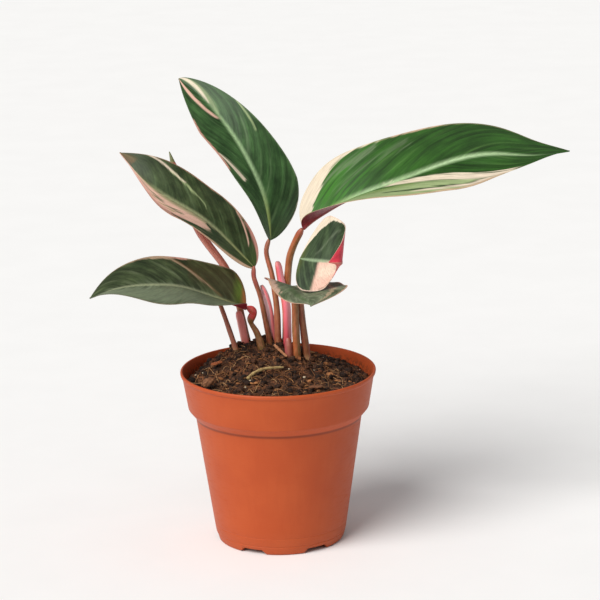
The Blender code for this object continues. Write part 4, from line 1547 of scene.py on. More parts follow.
@dataclass(frozen=True)
class Sheath:
    """A thin wing wrapped part of the way round, with its mouth towards a stalk."""

    name: str
    points: tuple[Point, ...]
    radius: float
    mouth: Point
    finish: SheathFinish
    flare: float = 0.0
    shoulder: float = 0.7
    wall: float = 0.42
    thinning: float = 0.75
    frill: float = 0.12
    flute: float = 0.05
    # the part of the way from the shoulder to the tip, and the share of the radius left there
    closing: tuple[Pair, ...] = ((0, 1), (0.6, 0.95), (0.87, 0.75), (1, 0.45))
    half_span_deg: float = 118.0
    rows: int = 70
    arcs: int = 26

    def build(self, effects: Effects, shift: float) -> bpy.types.Object:
        """Builds the sheath.

        Args:
            effects: The shared groups.
            shift: What moves its pattern away from the others'.

        Returns:
            The piece.
        """
        share = np.linspace(0, 1, self.rows)
        path, direction = smooth_path(self.points, share)
        across, up = frames_along(direction, self.mouth)
        stops = [self.shoulder + part * (1 - self.shoulder) for part, _ in self.closing]
        left = [size for _, size in self.closing]
        scale = np.interp(share, stops, left) * (1 + self.flare * (1 - share))
        half = math.radians(self.half_span_deg)
        frill = 1 - self.frill * np.sin(5.0 * share + shift) ** 2
        skins = []
        for sign in (1, -1):
            t = np.linspace(-1, 1, self.arcs)
            turn = math.pi + t[None] * half * frill[:, None]
            thin = 1 - self.thinning * np.abs(t[None]) ** 6
            flute = self.flute * np.sin(9 * t + shift)[None]
            reach = self.radius * scale[:, None] * (1 + flute) + sign * thin * self.wall / 2
            skins.append(path[:, None] + spokes(across, up, turn) * reach[..., None])
        shell = Shell()
        add_sandwich(shell, skins[0], skins[1])
        name = self.name + "_wing"
        made = shell.build(name, [self.finish.dress(name, effects, shift)])
        return declare(made, self.name, self.name)


@dataclass(frozen=True)
class SpearFinish:
    """Colours of the pinkish brown roll and of its green and pink tip."""

    low: Colour = ink(186, 112, 88)
    high: Colour = ink(172, 92, 78)
    band: Colour = ink(214, 150, 136)
    collar: Colour = ink(196, 84, 84)
    tip: Colour = ink(98, 112, 60)
    shade: Colour = ink(120, 60, 54)
    shift: float = 4.7

    def dress(self, name: str, effects: Effects) -> bpy.types.Material:
        """Makes the material.

        Args:
            name: The material's name.
            effects: The shared groups.

        Returns:
            The material.
        """
        made, pen, shader = new_material(name)
        along, around = pen.place()
        fibre = pen.use(
            effects.grain, along=along, around=around, length=5.0, fineness=12.0, shift=self.shift
        )
        colour = pen.mix(pen.span(along, 0.1, 0.7), self.low, self.high)
        bands = pen.stretched(along, around, (2.5, 7.0), 0.0, 2.0)
        colour = pen.coat(colour, self.band, pen.span(bands, 0.5, 0.62), 0.7)
        colour = pen.mix(pen.span(along, 0.86, 0.90), colour, self.collar)
        colour = pen.mix(pen.span(along, 0.90, 0.93), colour, self.tip)
        colour = pen.coat(colour, self.shade, fibre["Grain"], 0.35)
        finish_with(pen, shader, colour, (fibre["Grain"], 0.2, 0.34), (fibre["Grain"], 0.5, 0.15))
        return made


@dataclass(frozen=True)
class SpearLeaf:
    """The youngest leaf, still rolled up like a scroll."""

    axis: tuple[Point, ...] = (
        (-23.5, 41.5, 131), (-28, 44, 138.5), (-35.5, 49, 148), (-42.5, 54, 157.5),
        (-50.5, 63, 176), (-55.5, 69, 189), (-58.5, 72.78, 198.48),
    )
    radii: tuple[Pair, ...] = ((0.0, 1.3), (0.12, 2.2), (0.4, 2.5), (0.75, 2.3), (0.9, 1.9), (1.0, 0.3))
    seam: float = 0.14
    rows: int = 110
    sides: int = 48
    finish: SpearFinish = SpearFinish()

    def build(self, effects: Effects) -> bpy.types.Object:
        """Builds the rolled leaf.

        Args:
            effects: The shared groups.

        Returns:
            The piece.
        """
        share = np.linspace(0, 1, self.rows)
        path, direction = smooth_path(self.axis, share)
        radius = np.interp(share, [r[0] for r in self.radii], [r[1] for r in self.radii])
        wrap = np.linspace(0, 1, self.sides, endpoint=False)
        lip = np.exp(-(((wrap - 0.02) / 0.03) ** 2)) * 0.04
        round_it = 1 - self.seam * wrap + lip + 0.015 * np.sin(2 * math.pi * 6 * wrap)
        skin = radius[:, None] * round_it[None]
        shell = Shell()
        tube_shell(shell, path, direction, skin, self.sides, (0, -1, 0))
        name = "leaf_spear_roll"
        made = shell.build(name, [self.finish.dress(name, effects)])
        return declare(made, "leaf_spear", "leaf_spear")


TOP_STALK = StalkFinish(ink(156, 84, 54), ink(124, 70, 38), foot=ink(150, 80, 48), joint=ink(142, 76, 56))
RIGHT_STALK = StalkFinish(
    ink(168, 92, 52), ink(118, 84, 32), foot=ink(140, 84, 44), joint=ink(164, 70, 58), joint_from=0.955
)
UPPER_LEFT_STALK = StalkFinish(
    ink(156, 84, 54), ink(118, 68, 40), foot=ink(132, 78, 46), joint=ink(158, 72, 64), joint_from=0.78
)
LOWER_LEFT_STALK = StalkFinish(
    ink(118, 74, 36), ink(106, 80, 34), foot=ink(98, 84, 38), joint=ink(196, 48, 56), joint_from=0.74
)
CURLED_STALK = StalkFinish(
    ink(142, 80, 50), ink(118, 70, 40), foot=ink(196, 150, 112), joint=ink(146, 80, 54), foot_reach=0.13
)
FRONT_STALK = StalkFinish(
    ink(174, 92, 50), ink(116, 84, 40), foot=ink(150, 84, 50), joint=ink(150, 80, 56)
)
REAR_STALK = StalkFinish(
    ink(176, 106, 84), ink(140, 84, 62), foot=ink(196, 178, 126), joint=ink(166, 90, 76)
)
SPEAR_STALK = StalkFinish(
    ink(176, 100, 72), ink(150, 90, 60), foot=ink(130, 78, 46), joint=ink(170, 98, 76)
)

STALKS = (
    Stalk(
        "stalk_top",
        (
            (0.1, 20.2, 97), (0.1, 20.6, 102), (0, 21.4, 112), (-0.4, 23.6, 122.6),
            (-1.4, 25, 130.7), (-2.6, 26.6, 138.7), (-4.2, 28, 145), (-5.3, 28.8, 149.9),
            (-5.1, 29.3, 153.7), (-4.2, 29.7, 156.4),
        ),
        foot=2, top=1.3, joint=1.35, joint_length=7, finish=TOP_STALK,
    ),
    Stalk(
        "stalk_right",
        (
            (4.2, 31.4, 94.4), (4.4, 31.5, 100.1), (5, 32, 120.3), (5.6, 32.3, 132.6),
            (6.5, 31.5, 142.3), (7.7, 30.3, 149.3), (9.9, 29, 155.1), (12, 27.6, 159.9),
            (13.4, 26.8, 162.5),
        ),
        foot=2.3, top=1.9, joint=1.95, joint_length=7, finish=RIGHT_STALK,
    ),
    Stalk(
        "stalk_upper_left",
        (
            (-3.4, 23.3, 97), (-4.3, 23, 102), (-6.6, 22.3, 114.6), (-8.1, 22, 123.2),
            (-9.6, 21.7, 130), (-11.2, 21.5, 135.1), (-12.4, 21.3, 140.2), (-12.3, 21.5, 143.1),
        ),
        foot=1.65, top=1.2, joint=1.3, joint_length=9, finish=UPPER_LEFT_STALK,
    ),
    Stalk(
        "stalk_lower_left",
        (
            (-7.7, 15.8, 96.8), (-9, 16.1, 101.8), (-12.3, 16.6, 111.2), (-14.4, 16.4, 116),
            (-13.5, 16, 118.8), (-12.9, 15.4, 121.2), (-14.6, 14.8, 123),
        ),
        foot=2.5, top=1.3, joint=2.1, joint_length=8, finish=LOWER_LEFT_STALK,
    ),
    Stalk(
        "stalk_curled",
        (
            (16.4, 16.5, 90.1), (15.8, 16.3, 95.1), (14.7, 15.9, 104.2), (13.5, 15.9, 116),
            (12.8, 15.8, 124.4), (12.7, 15.2, 132.9), (13.1, 13.4, 139.5), (13.5, 9.4, 145.4),
            (13.8, 5, 149.6), (13.7, 2.1, 152.2),
        ),
        foot=2.2, top=1.5, joint=1.4, joint_length=7, finish=CURLED_STALK,
    ),
    Stalk(
        "stalk_front",
        (
            (10.2, 13.1, 91.3), (10.2, 13.2, 96.2), (10, 13.2, 105.7), (9.8, 13.3, 116.8),
            (9.7, 13.5, 124.5), (8.7, 13.8, 131.1), (8.2, 12.9, 133.9),
        ),
        foot=2.2, top=1.9, joint=1.7, joint_length=6, finish=FRONT_STALK, reach=1.3,
    ),
    Stalk(
        "stalk_rear_left",
        (
            (-21, 17.7, 93.6), (-22.5, 18.1, 98.6), (-26.3, 19, 110.8), (-30, 22, 121.3),
            (-32.3, 25, 126.2), (-34.6, 28.9, 128.9),
        ),
        foot=1.6, top=1.15, joint=1, joint_length=6, finish=REAR_STALK,
    ),
    Stalk(
        "stalk_spear",
        (
            (-15.4, 29.5, 95.3), (-16.9, 31, 102.3), (-19.6, 33.5, 114.1), (-21.5, 37, 122.3),
            (-22.9, 40.3, 128), (-23.35, 41.15, 130.3),
        ),
        foot=1.6, top=1.9, joint=1.7, joint_length=6, finish=SPEAR_STALK,
    ),
)

TOP_SHEATH = SheathFinish(
    near=ink(200, 104, 84), middle=ink(236, 108, 122), far=ink(244, 164, 170), low=ink(214, 76, 88)
)
UPPER_LEFT_SHEATH = SheathFinish(
    near=ink(236, 150, 150), middle=ink(234, 120, 126), far=ink(250, 226, 228),
    low=ink(214, 104, 100), stops=(0.0, 0.14, 0.30),
)
SPEAR_SHEATH = SheathFinish(
    near=ink(246, 116, 118), middle=ink(248, 122, 122), far=ink(246, 150, 142), low=ink(222, 112, 98)
)
BRACT = SheathFinish(
    near=ink(150, 66, 66), middle=ink(158, 72, 70), far=ink(150, 84, 66), low=ink(120, 62, 52),
    tip=ink(196, 92, 92), roughness=0.5,
)

SHEATHS = (
    Sheath(
        "sheath_top",
        (
            (4, 23.6, 95.6), (4.2, 23.7, 101.2), (4.3, 23.9, 112.9), (4.1, 25.4, 122.2),
            (2.6, 27.9, 129.6), (1.2, 29.5, 135.4), (0.4, 30.5, 140.8), (0, 31.1, 145.1),
        ),
        radius=2.5, mouth=(-0.985, 0.17, 0), finish=TOP_SHEATH, flare=0.23, shoulder=0.85,
    ),
    Sheath(
        "sheath_upper_left",
        (
            (-1.8, 26.7, 96.3), (-2.5, 26.5, 101.1), (-3.7, 26.1, 109.6), (-4.4, 25.2, 116.6),
            (-5.5, 24.4, 123.6), (-7.1, 23.9, 129.9), (-8.4, 23.7, 133.6),
        ),
        radius=1.95, mouth=(-0.8, -0.5, 0), finish=UPPER_LEFT_SHEATH, flare=0.4, shoulder=0.6,
    ),
    Sheath(
        "sheath_spear",
        ((-16.8, 26.7, 96.3), (-18.2, 27, 103.4), (-19.9, 27.4, 112.4), (-21.3, 28, 118.4)),
        radius=1.9, mouth=(0.3, 1, 0), finish=SPEAR_SHEATH,
    ),
    Sheath(
        "bract",
        ((5.7, 11.6, 93.4), (5.7, 12.2, 98.7), (5.7, 12.6, 102.5), (5.4, 13.4, 106.8)),
        radius=2.1, mouth=(-0.6, 0.8, 0), finish=BRACT, shoulder=0.25,
    ),
)


# --- potting mix and what lies on it ---------------------------------------------------------


@dataclass(frozen=True)
class SoilFinish:
    """Dark damp mix of peat and coir, with one tone for each kind of grain."""

    damp: Colour = ink(46, 29, 19)
    dry: Colour = ink(124, 78, 46)
    speck: Colour = ink(150, 108, 70)
    roughness: float = 0.92
    shine: float = 0.3

    def dress(self, name: str, effects: Effects) -> bpy.types.Material:
        """Makes the material of the mix or of one kind of grain.

        Args:
            name: The material's name.
            effects: The shared groups.

        Returns:
            The material.
        """
        made, pen, shader = new_material(name)
        place = pen.object_mm()
        spots = pen.use(
            effects.mottle, position=place, cloud=0.16, grain=1.1, speck=0.9, speck_share=0.16
        )
        colour = pen.mix(spots["Clouds"], self.damp, self.dry)
        colour = pen.mix(pen.span(spots["Grains"], 0.42, 0.62), colour, self.damp)
        colour = pen.coat(colour, self.speck, spots["Specks"], 0.5)
        gloss = (spots["Grains"], 0.2, self.roughness - 0.15)
        finish_with(pen, shader, colour, gloss, (spots["Grains"], 0.9, 0.5))
        shader.inputs["Specular IOR Level"].default_value = self.shine
        return made


DAMP_MIX = SoilFinish()
PEAT = (
    SoilFinish(ink(34, 22, 16), ink(84, 54, 34)),
    SoilFinish(ink(50, 32, 22), ink(110, 70, 44)),
    SoilFinish(ink(26, 18, 14), ink(60, 38, 26)),
)
BARK = (
    SoilFinish(ink(96, 54, 30), ink(158, 98, 58)),
    SoilFinish(ink(60, 36, 24), ink(112, 68, 42)),
    SoilFinish(ink(124, 78, 44), ink(186, 128, 80)),
)
GRIT = (SoilFinish(ink(196, 178, 150), ink(226, 212, 186)),)
COIR = (
    SoilFinish(ink(120, 78, 46), ink(176, 126, 80)),
    SoilFinish(ink(84, 52, 32), ink(130, 86, 54)),
    SoilFinish(ink(150, 110, 72), ink(196, 156, 112)),
)

SOIL_MAP_REACH = 100.0  # millimetres of soil that the map's whole square covers
LUMP_LAYERS = 4
LUMP_RATIO = 1.9  # how much finer each layer of lumps is than the one before
LUMP_FALL = 0.55  # and how much lower


def soil_map(x: np.ndarray, y: np.ndarray) -> np.ndarray:
    """The map coordinates of places on the soil."""
    return np.stack([x, y], -1) / SOIL_MAP_REACH + 0.5


def lumpy(points: np.ndarray, phase: float) -> np.ndarray:
    """A cheap smooth noise from crossed waves, about from -1 to 1.

    Args:
        points: Rows of points.
        phase: What moves the pattern away from others.

    Returns:
        The noise at each point.
    """
    x, y, z = points[..., 0], points[..., 1], points[..., 2]
    total = np.zeros(x.shape)
    size = 1.0
    for k in range(LUMP_LAYERS):
        turn, fine = phase + 1.7 * k, LUMP_RATIO**k
        total += size * np.sin(fine * (x * math.cos(turn) + y * math.sin(turn)) + 2.1 * turn)
        total += size * np.sin(fine * (y * math.cos(2 * turn) - z * math.sin(turn)) + 1.3 * turn)
        total += size * np.sin(fine * (z * math.cos(turn) + x * math.sin(2 * turn)) + 0.7 * turn)
        size *= LUMP_FALL
    return total / 4.5


@dataclass(frozen=True)
class PottingMix:
    """The potting mix: a rough mounded surface, crumbs, bark flakes and coir fibres."""

    level: float = 87.2
    edge_radius: float = 49.2
    mound: float = 15.5
    centre: Pair = (-9.0, 25.0)
    spread: float = 22.0
    rings: int = 120
    spokes: int = 300
    crumbs: int = 1500
    flakes: int = 190
    fibres: int = 420
    grit: int = 26
    lumpiness: float = 0.28  # how far a grain departs from a ball, as a share of its radius
    smallness: float = 2.2  # how much commoner small grains are than large ones
    # each step of the skirt: how far below the level, and its share of the radius
    skirt: tuple[Pair, ...] = ((2.5, 1.0), (8.0, 0.985), (14.0, 0.93))

    def height(self, x: np.ndarray, y: np.ndarray) -> np.ndarray:
        """Height of the CAD mix's surface.

        Args:
            x: Places across.
            y: Places from front to back.

        Returns:
            The heights in millimetres.
        """
        away = (x - self.centre[0]) ** 2 + (y - self.centre[1]) ** 2
        mound = self.mound * np.exp(-away / (2 * self.spread**2))
        edge = 1 - np.minimum(1.0, np.hypot(x, y) / self.edge_radius) ** 8
        ripple = 0.6 * np.sin(0.45 * x + 1.3) * np.sin(0.38 * y + 0.4) + 0.35 * np.sin(0.9 * x + 0.7 * y)
        return self.level + (mound + ripple) * edge

    def rough_height(self, x: np.ndarray, y: np.ndarray) -> np.ndarray:
        """Height of the surface with its clods and hollows.

        Args:
            x: Places across.
            y: Places from front to back.

        Returns:
            The heights in millimetres.
        """
        flat = np.stack([x, y, np.zeros_like(x)], -1)
        clods = lumpy(flat * 0.35, 0.3) + 0.5 * lumpy(flat * 0.9, 2.2)
        clods = clods + 0.25 * lumpy(flat * 2.1, 4.0)
        return self.height(x, y) + clods - 0.5

    def surface(self, effects: Effects) -> bpy.types.Object:
        """The continuous surface, with a skirt down inside the pot's wall.

        Args:
            effects: The shared groups.

        Returns:
            The piece.
        """
        radius = self.edge_radius * np.linspace(0.0, 1.0, self.rings) ** 0.8
        turn = np.linspace(0, 2 * math.pi, self.spokes, endpoint=False)
        x = radius[:, None] * np.cos(turn)
        y = radius[:, None] * np.sin(turn)
        top = np.stack([x, y, self.rough_height(x, y)], -1)
        ring = top[-1].copy()
        rings = []
        for drop, reach in self.skirt:
            low = ring * np.array([reach, reach, 1.0])
            low[:, 2] = self.level - drop
            rings.append(low)
        points = np.concatenate([top, np.stack(rings)])
        rows = len(points)
        shell = Shell()
        place = soil_map(points[..., 0], points[..., 1])
        shell.add(points, grid_faces(rows, self.spokes, closed=True), place)
        last = (rows - 1) * self.spokes
        shell.faces.append(tuple(range(last, last + self.spokes)))
        shell.slots.append(0)
        name = "potting_mix_surface"
        made = shell.build(name, [DAMP_MIX.dress(name, effects)])
        return declare(made, "potting_mix", "potting_mix")

    def spots(
        self, rng: np.random.Generator, count: int, reach: float
    ) -> tuple[np.ndarray, np.ndarray, np.ndarray]:
        """Random places on the surface.

        Args:
            rng: The seeded source.
            count: How many.
            reach: The greatest distance from the pot's axis.

        Returns:
            The x, y and z of each.
        """
        radius = reach * np.sqrt(rng.random(count))
        turn = rng.random(count) * 2 * math.pi
        x, y = radius * np.cos(turn), radius * np.sin(turn)
        return x, y, self.rough_height(x, y)

    def grains(
        self,
        name: str,
        effects: Effects,
        rng: np.random.Generator,
        count: int,
        sizes: Pair,
        flat: Pair,
        kinds: Sequence[SoilFinish],
        detail: int = 2,
    ) -> bpy.types.Object:
        """Many small lumps as one piece.

        Args:
            name: The piece's name.
            effects: The shared groups.
            rng: The seeded source.
            count: How many lumps.
            sizes: Least and greatest radius in millimetres.
            flat: Least and greatest flattening.
            kinds: The finishes that the lumps take in turn.
            detail: How finely each lump is divided.

        Returns:
            The piece.
        """
        ball = bmesh.new()
        bmesh.ops.create_icosphere(ball, subdivisions=detail, radius=1.0)
        round_points = np.array([v.co for v in ball.verts])
        round_faces = [tuple(v.index for v in f.verts) for f in ball.faces]
        ball.free()
        x, y, z = self.spots(rng, count, self.edge_radius - 1.5)
        shell = Shell()
        for i in range(count):
            size = sizes[0] + (sizes[1] - sizes[0]) * rng.random() ** self.smallness
            shape = np.array([1.0, rng.uniform(0.55, 1.0), rng.uniform(*flat)])
            dents = self.lumpiness * lumpy(round_points * 1.9, rng.random() * 60)
            lump = round_points * (1 + dents)[:, None]
            spin = Matrix.Rotation(rng.random() * 2 * math.pi, 3, "Z")
            tilt = Matrix.Rotation(rng.normal() * 0.5, 3, "X")
            lump = (lump * shape * size) @ np.array(spin @ tilt).T
            seat = np.array([x[i], y[i], z[i] + 0.25 * size * shape[2]])
            place = np.tile(soil_map(x[i], y[i]), (len(lump), 1))
            shell.add(lump + seat, round_faces, place, int(rng.integers(len(kinds))))
        finishes = [kind.dress(f"{name}_{k}", effects) for k, kind in enumerate(kinds)]
        return declare(shell.build(name, finishes), "potting_mix")

    def coir(self, effects: Effects, rng: np.random.Generator) -> bpy.types.Object:
        """Coir fibres that lie bent over the surface.

        Args:
            effects: The shared groups.
            rng: The seeded source.

        Returns:
            The piece.
        """
        shell = Shell()
        x, y, _ = self.spots(rng, self.fibres, self.edge_radius - 3.0)
        for i in range(self.fibres):
            length = rng.uniform(2.5, 11.0) if i % 5 else rng.uniform(8.0, 16.0)
            turn = rng.random() * 2 * math.pi
            bend = rng.normal() * 1.2
            share = np.linspace(-0.5, 0.5, 7)
            heading = turn + bend * share
            steps = np.stack([np.cos(heading), np.sin(heading)], 1) * length / 6
            line = np.cumsum(steps, axis=0) - steps.sum(0) / 2 + np.array([x[i], y[i]])
            away = np.hypot(line[:, 0], line[:, 1])
            line = line * np.minimum(1.0, (self.edge_radius - 1.0) / np.maximum(away, 1e-6))[:, None]
            arch = rng.uniform(0.2, 1.6) * (0.25 - share**2) * 4
            high = self.rough_height(line[:, 0], line[:, 1]) + 0.25 + arch
            path, direction = smooth_path(np.column_stack([line, high]), np.linspace(0, 1, 9))
            thick = rng.uniform(0.09, 0.26)
            radius = thick * np.linspace(1.0, 0.55, 9)
            kind = int(rng.integers(len(COIR)))
            tube_shell(shell, path, direction, radius, 5, (0.1, 0.2, 1.0), kind)
        finishes = [kind.dress(f"coir_{k}", effects) for k, kind in enumerate(COIR)]
        return declare(shell.build("coir_fibres", finishes), "potting_mix")

    def build(self, effects: Effects) -> None:
        """Builds the surface and everything loose in it.

        Args:
            effects: The shared groups.
        """
        rng = np.random.default_rng(SEED)
        self.surface(effects)
        self.grains("peat_crumbs", effects, rng, self.crumbs, (0.45, 2.4), (0.5, 0.95), PEAT, 1)
        self.grains("bark_flakes", effects, rng, self.flakes, (0.9, 3.0), (0.16, 0.4), BARK)
        self.grains("pale_grit", effects, rng, self.grit, (0.35, 0.9), (0.6, 0.9), GRIT)
        self.coir(effects, rng)


@dataclass(frozen=True)
class LitterFinish:
    """Colours of a dry fibrous bit, with a shift that sets its pattern apart."""

    dark: Colour
    pale: Colour
    shift: float

    def dress(self, name: str, effects: Effects) -> bpy.types.Material:
        """Makes the material.

        Args:
            name: The material's name.
            effects: The shared groups.

        Returns:
            The material.
        """
        made, pen, shader = new_material(name)
        along, around = pen.place()
        fibre = pen.use(
            effects.grain, along=along, around=around, shift=self.shift, length=7.0, fineness=9.0
        )
        colour = pen.mix(fibre["Grain"], self.pale, self.dark)
        colour = pen.coat(colour, self.dark, fibre["Blotch"], 0.5)
        finish_with(pen, shader, colour, (fibre["Grain"], 0.2, 0.7), (fibre["Grain"], 0.7, 0.2))
        return made


ROOT = LitterFinish(ink(150, 120, 72), ink(202, 178, 122), 0.4)
STEM_END = LitterFinish(ink(150, 98, 62), ink(198, 140, 98), 1.9)
DEAD_LEAF = LitterFinish(ink(92, 56, 34), ink(150, 100, 62), 2.2)
RUSTY_BARK = LitterFinish(ink(120, 62, 30), ink(186, 104, 54), 3.3)
PLAIN_BARK = LitterFinish(ink(84, 50, 30), ink(142, 92, 56), 5.1)

# x, y and extra height over the mix
ROOT_ROUTE = (
    (-16.2, -14.2, 0.5), (-13.3, -9.8, 0.9), (-8.5, -7.0, 1.2), (-3.0, -5.0, 1.1), (3.2, -3.0, 0.7),
)
STEM_ROUTE = ((-1.9, 14.0, 1.5), (1.2, 11.2, 1.1), (4.9, 7.4, 0.5))
SCRAP_ROUTE = ((-39.5, -21.0, 1.3), (-36.5, -19.0, 2.7), (-33.0, -16.5, 1.5))
SCRAP_RADII = (1.0, 1.9, 2.3, 2.4, 2.2, 1.7, 0.8)
SCRAP_HALF_SPAN_DEG = 112.0
SCRAP_HALF_WALL = 0.15


@dataclass(frozen=True)
class Litter:
    """Loose bits that lie on the mix: a root, a stem end, a leaf scrap and bark chips."""

    mix: PottingMix
    effects: Effects
    lift: float = 0.3

    def declared(self, shell: Shell, name: str, node: str, finish: LitterFinish) -> None:
        """Makes a bit from its shell, and hides the CAD node that it stands for."""
        declare(shell.build(name, [finish.dress(name, self.effects)]), node, node)

    def seated(self, points: Sequence[Point], radius: float) -> np.ndarray:
        """Points of a route lifted on to the mix.

        Args:
            points: x, y and extra height.
            radius: The thickness of what lies there.

        Returns:
            The route in millimetres.
        """
        line = np.asarray(points, float)
        line[:, 2] += self.mix.height(line[:, 0], line[:, 1]) + radius + self.lift
        return line

    def strand(
        self, node: str, name: str, points: Sequence[Point], radius: float, finish: LitterFinish
    ) -> None:
        """A root or stem end.

        Args:
            node: The CAD node that it stands for.
            name: The piece's name.
            points: Its route, as x, y and extra height.
            radius: Its radius at its thick end.
            finish: Its finish.
        """
        share = np.linspace(0, 1, 60)
        path, direction = smooth_path(self.seated(points, radius), share)
        turn = np.linspace(0, 2 * math.pi, 14, endpoint=False)
        knots = 1 + 0.10 * np.sin(31 * share + finish.shift) + 0.06 * np.sin(57 * share)
        ends = np.clip(np.minimum(share, 1 - share) / 0.02, 0.35, 1)
        skin = radius * (1 - 0.25 * share) * knots * ends
        grid = skin[:, None] * (1 + 0.06 * np.sin(3 * turn + finish.shift))[None]
        shell = Shell()
        tube_shell(shell, path, direction, grid, 14, (0, 0, 1))
        self.declared(shell, name, node, finish)

    def scrap(self) -> None:
        """The dead leaf scrap, curled along its length."""
        share = np.linspace(0, 1, 40)
        path, direction = smooth_path(self.seated(SCRAP_ROUTE, 1.3), share)
        across, up = frames_along(direction, (0, 0, -1))
        size = natural_spline(np.linspace(0, 1, len(SCRAP_RADII)), SCRAP_RADII, share)
        t = np.linspace(-1, 1, 30)
        half = math.radians(SCRAP_HALF_SPAN_DEG)
        skins = []
        for sign in (1, -1):
            turn = math.pi + t[None] * half * (1 - 0.1 * np.sin(9 * share)[:, None])
            crimp = 1 + 0.07 * np.sin(11 * t[None] + 14 * share[:, None])
            reach = size[:, None] * crimp + sign * SCRAP_HALF_WALL
            skins.append(path[:, None] + spokes(across, up, turn) * reach[..., None])
        shell = Shell()
        add_sandwich(shell, skins[0], skins[1])
        self.declared(shell, "leaf_scrap_curl", "leaf_scrap", DEAD_LEAF)

    def chip(self, node: str, at: Pair, turn_deg: float, size: Point, finish: LitterFinish) -> None:
        """A split chip of bark.

        Args:
            node: The CAD node that it stands for.
            at: Where it lies.
            turn_deg: Which way it lies.
            size: Half length, half width and thickness.
            finish: Its finish.
        """
        low, high = (np.array(corner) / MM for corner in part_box(node))
        share = np.linspace(-1, 1, 34)
        grid_u, grid_v = np.meshgrid(share, np.linspace(-1, 1, 22), indexing="ij")
        outline = (1 - np.abs(grid_u) ** 3.2) ** 0.4 * (1 + 0.12 * np.sin(5 * grid_u + finish.shift))
        x = grid_u * size[0]
        y = grid_v * size[1] * outline
        crown = (1 - np.abs(grid_v) ** 4) * (1 - np.abs(grid_u) ** 6)
        rough = 0.12 * lumpy(np.stack([x * 0.5, y * 3.0, 0 * x], -1), finish.shift)
        turn = math.radians(turn_deg)
        skins = []
        for sign in (1, -1):
            swell = sign * (0.12 + 0.5 * size[2] * crown) * 0.8
            east = at[0] + math.cos(turn) * x - math.sin(turn) * y
            north = at[1] + math.sin(turn) * x + math.cos(turn) * y
            height = 0.5 * (low[2] + high[2]) + 0.10 * x + swell + rough * crown
            skins.append(np.stack([east, north, height], -1))
        shell = Shell()
        add_sandwich(shell, skins[0], skins[1])
        self.declared(shell, node + "_split", node, finish)

    def build(self) -> None:
        """Builds every loose bit."""
        self.strand("root_arc", "root_arc_strand", ROOT_ROUTE, 0.9, ROOT)
        self.strand("dry_stem_bit", "dry_stem_end", STEM_ROUTE, 0.8, STEM_END)
        self.scrap()
        self.chip("bark_chip_left", (-33.0, 4.0), 30.0, (3.4, 1.7, 1.2), RUSTY_BARK)
        self.chip("bark_chip_front", (20.0, -24.0), -20.0, (3.8, 2.2, 1.2), PLAIN_BARK)


# --- pot -------------------------------------------------------------------------------------


@dataclass(frozen=True)
class PlasticFinish:
    """Terracotta-coloured plastic: satin, lightly mottled, scuffed and dusted with soil. Painted light lies
    on the slope under the band, and painted shade in the inner corner below it.
    """

    clay: Colour = ink(174, 74, 34)
    warm: Colour = ink(180, 80, 38)
    deep: Colour = ink(158, 63, 28)
    dust: Colour = ink(150, 106, 78)
    soil: Colour = ink(78, 46, 30)
    # painted shade: a dark line in the inner corner where the band's underside meets the wall
    crease_shade: Colour = ink(96, 38, 22)
    # painted light: a lighter tone laid on the band's sloped underside
    slope: Colour = ink(190, 84, 45)
    crease_height: float = 68.9
    band_height: float = 73.4
    shelf_height: float = 72.0
    soil_heights: Pair = (88.0, 92.5)
    dust_heights: Pair = (2.0, 16.0)
    foot_radius: float = 35.2
    taper: float = 0.168
    roughness: float = 0.46
    shine: float = 0.25

    def dress(self, effects: Effects) -> bpy.types.Material:
        """Makes the material.

        Args:
            effects: The shared groups.

        Returns:
            The material.
        """
        made, pen, shader = new_material("pot_plastic")
        place = pen.object_mm()
        x, y, z = pen.part(place)
        spots = pen.use(
            effects.mottle, position=place, cloud=0.045, grain=0.9, speck=0.28, speck_share=0.05
        )
        colour = pen.mix(spots["Clouds"], self.clay, self.warm)
        drawn = pen.noise(pen.join(x, y, pen.times(z, 0.08)), 0.35, 4.0)
        colour = pen.coat(colour, self.deep, pen.span(drawn, 0.45, 0.7), 0.12)
        # painted light on the band's sloped underside
        slope = pen.times(
            pen.span(z, self.crease_height + 0.3, self.crease_height + 1.2),
            pen.span(z, self.band_height + 0.2, self.band_height - 0.3),
        )
        colour = pen.coat(colour, self.slope, slope, 0.8)
        # painted shade: a dark line in the inner corner where that slope meets the wall
        apart = pen.math("ABSOLUTE", pen.math("SUBTRACT", z, self.crease_height))
        colour = pen.coat(colour, self.crease_shade, pen.span(apart, 1.3, 0.15), 0.6)
        film = pen.times(pen.span(z, self.dust_heights[1], self.dust_heights[0]), 0.16)
        colour = pen.coat(colour, self.dust, film, spots["Grains"])
        radius = pen.math("SQRT", pen.math("ADD", pen.times(x, x), pen.times(y, y)))
        wall = pen.math("MULTIPLY_ADD", z, self.taper, self.foot_radius)
        within = pen.span(pen.math("SUBTRACT", radius, wall), 0.8, 0.3)
        inside = pen.times(within, pen.span(z, self.shelf_height, self.shelf_height + 2.0))
        smear = pen.noise(place, 0.6, 5.0, 0.65)
        dirt = pen.times(inside, pen.span(smear, 0.42, 0.62))
        low_dirt = pen.times(dirt, pen.span(z, self.soil_heights[1], self.soil_heights[0]))
        colour = pen.coat(colour, self.soil, low_dirt, 0.75)
        colour = pen.coat(colour, self.soil, spots["Specks"], 0.35)
        scuff = pen.noise(pen.join(pen.times(x, 0.3), pen.times(y, 0.3), pen.times(z, 2.2)), 0.6, 4.0)
        relief = pen.math("MULTIPLY_ADD", spots["Grains"], 0.5, pen.times(drawn, 0.25))
        gloss = (pen.span(scuff, 0.45, 0.75), 0.14, self.roughness)
        finish_with(pen, shader, colour, gloss, (relief, 0.25, 0.06))
        shader.inputs["Specular IOR Level"].default_value = self.shine
        return made


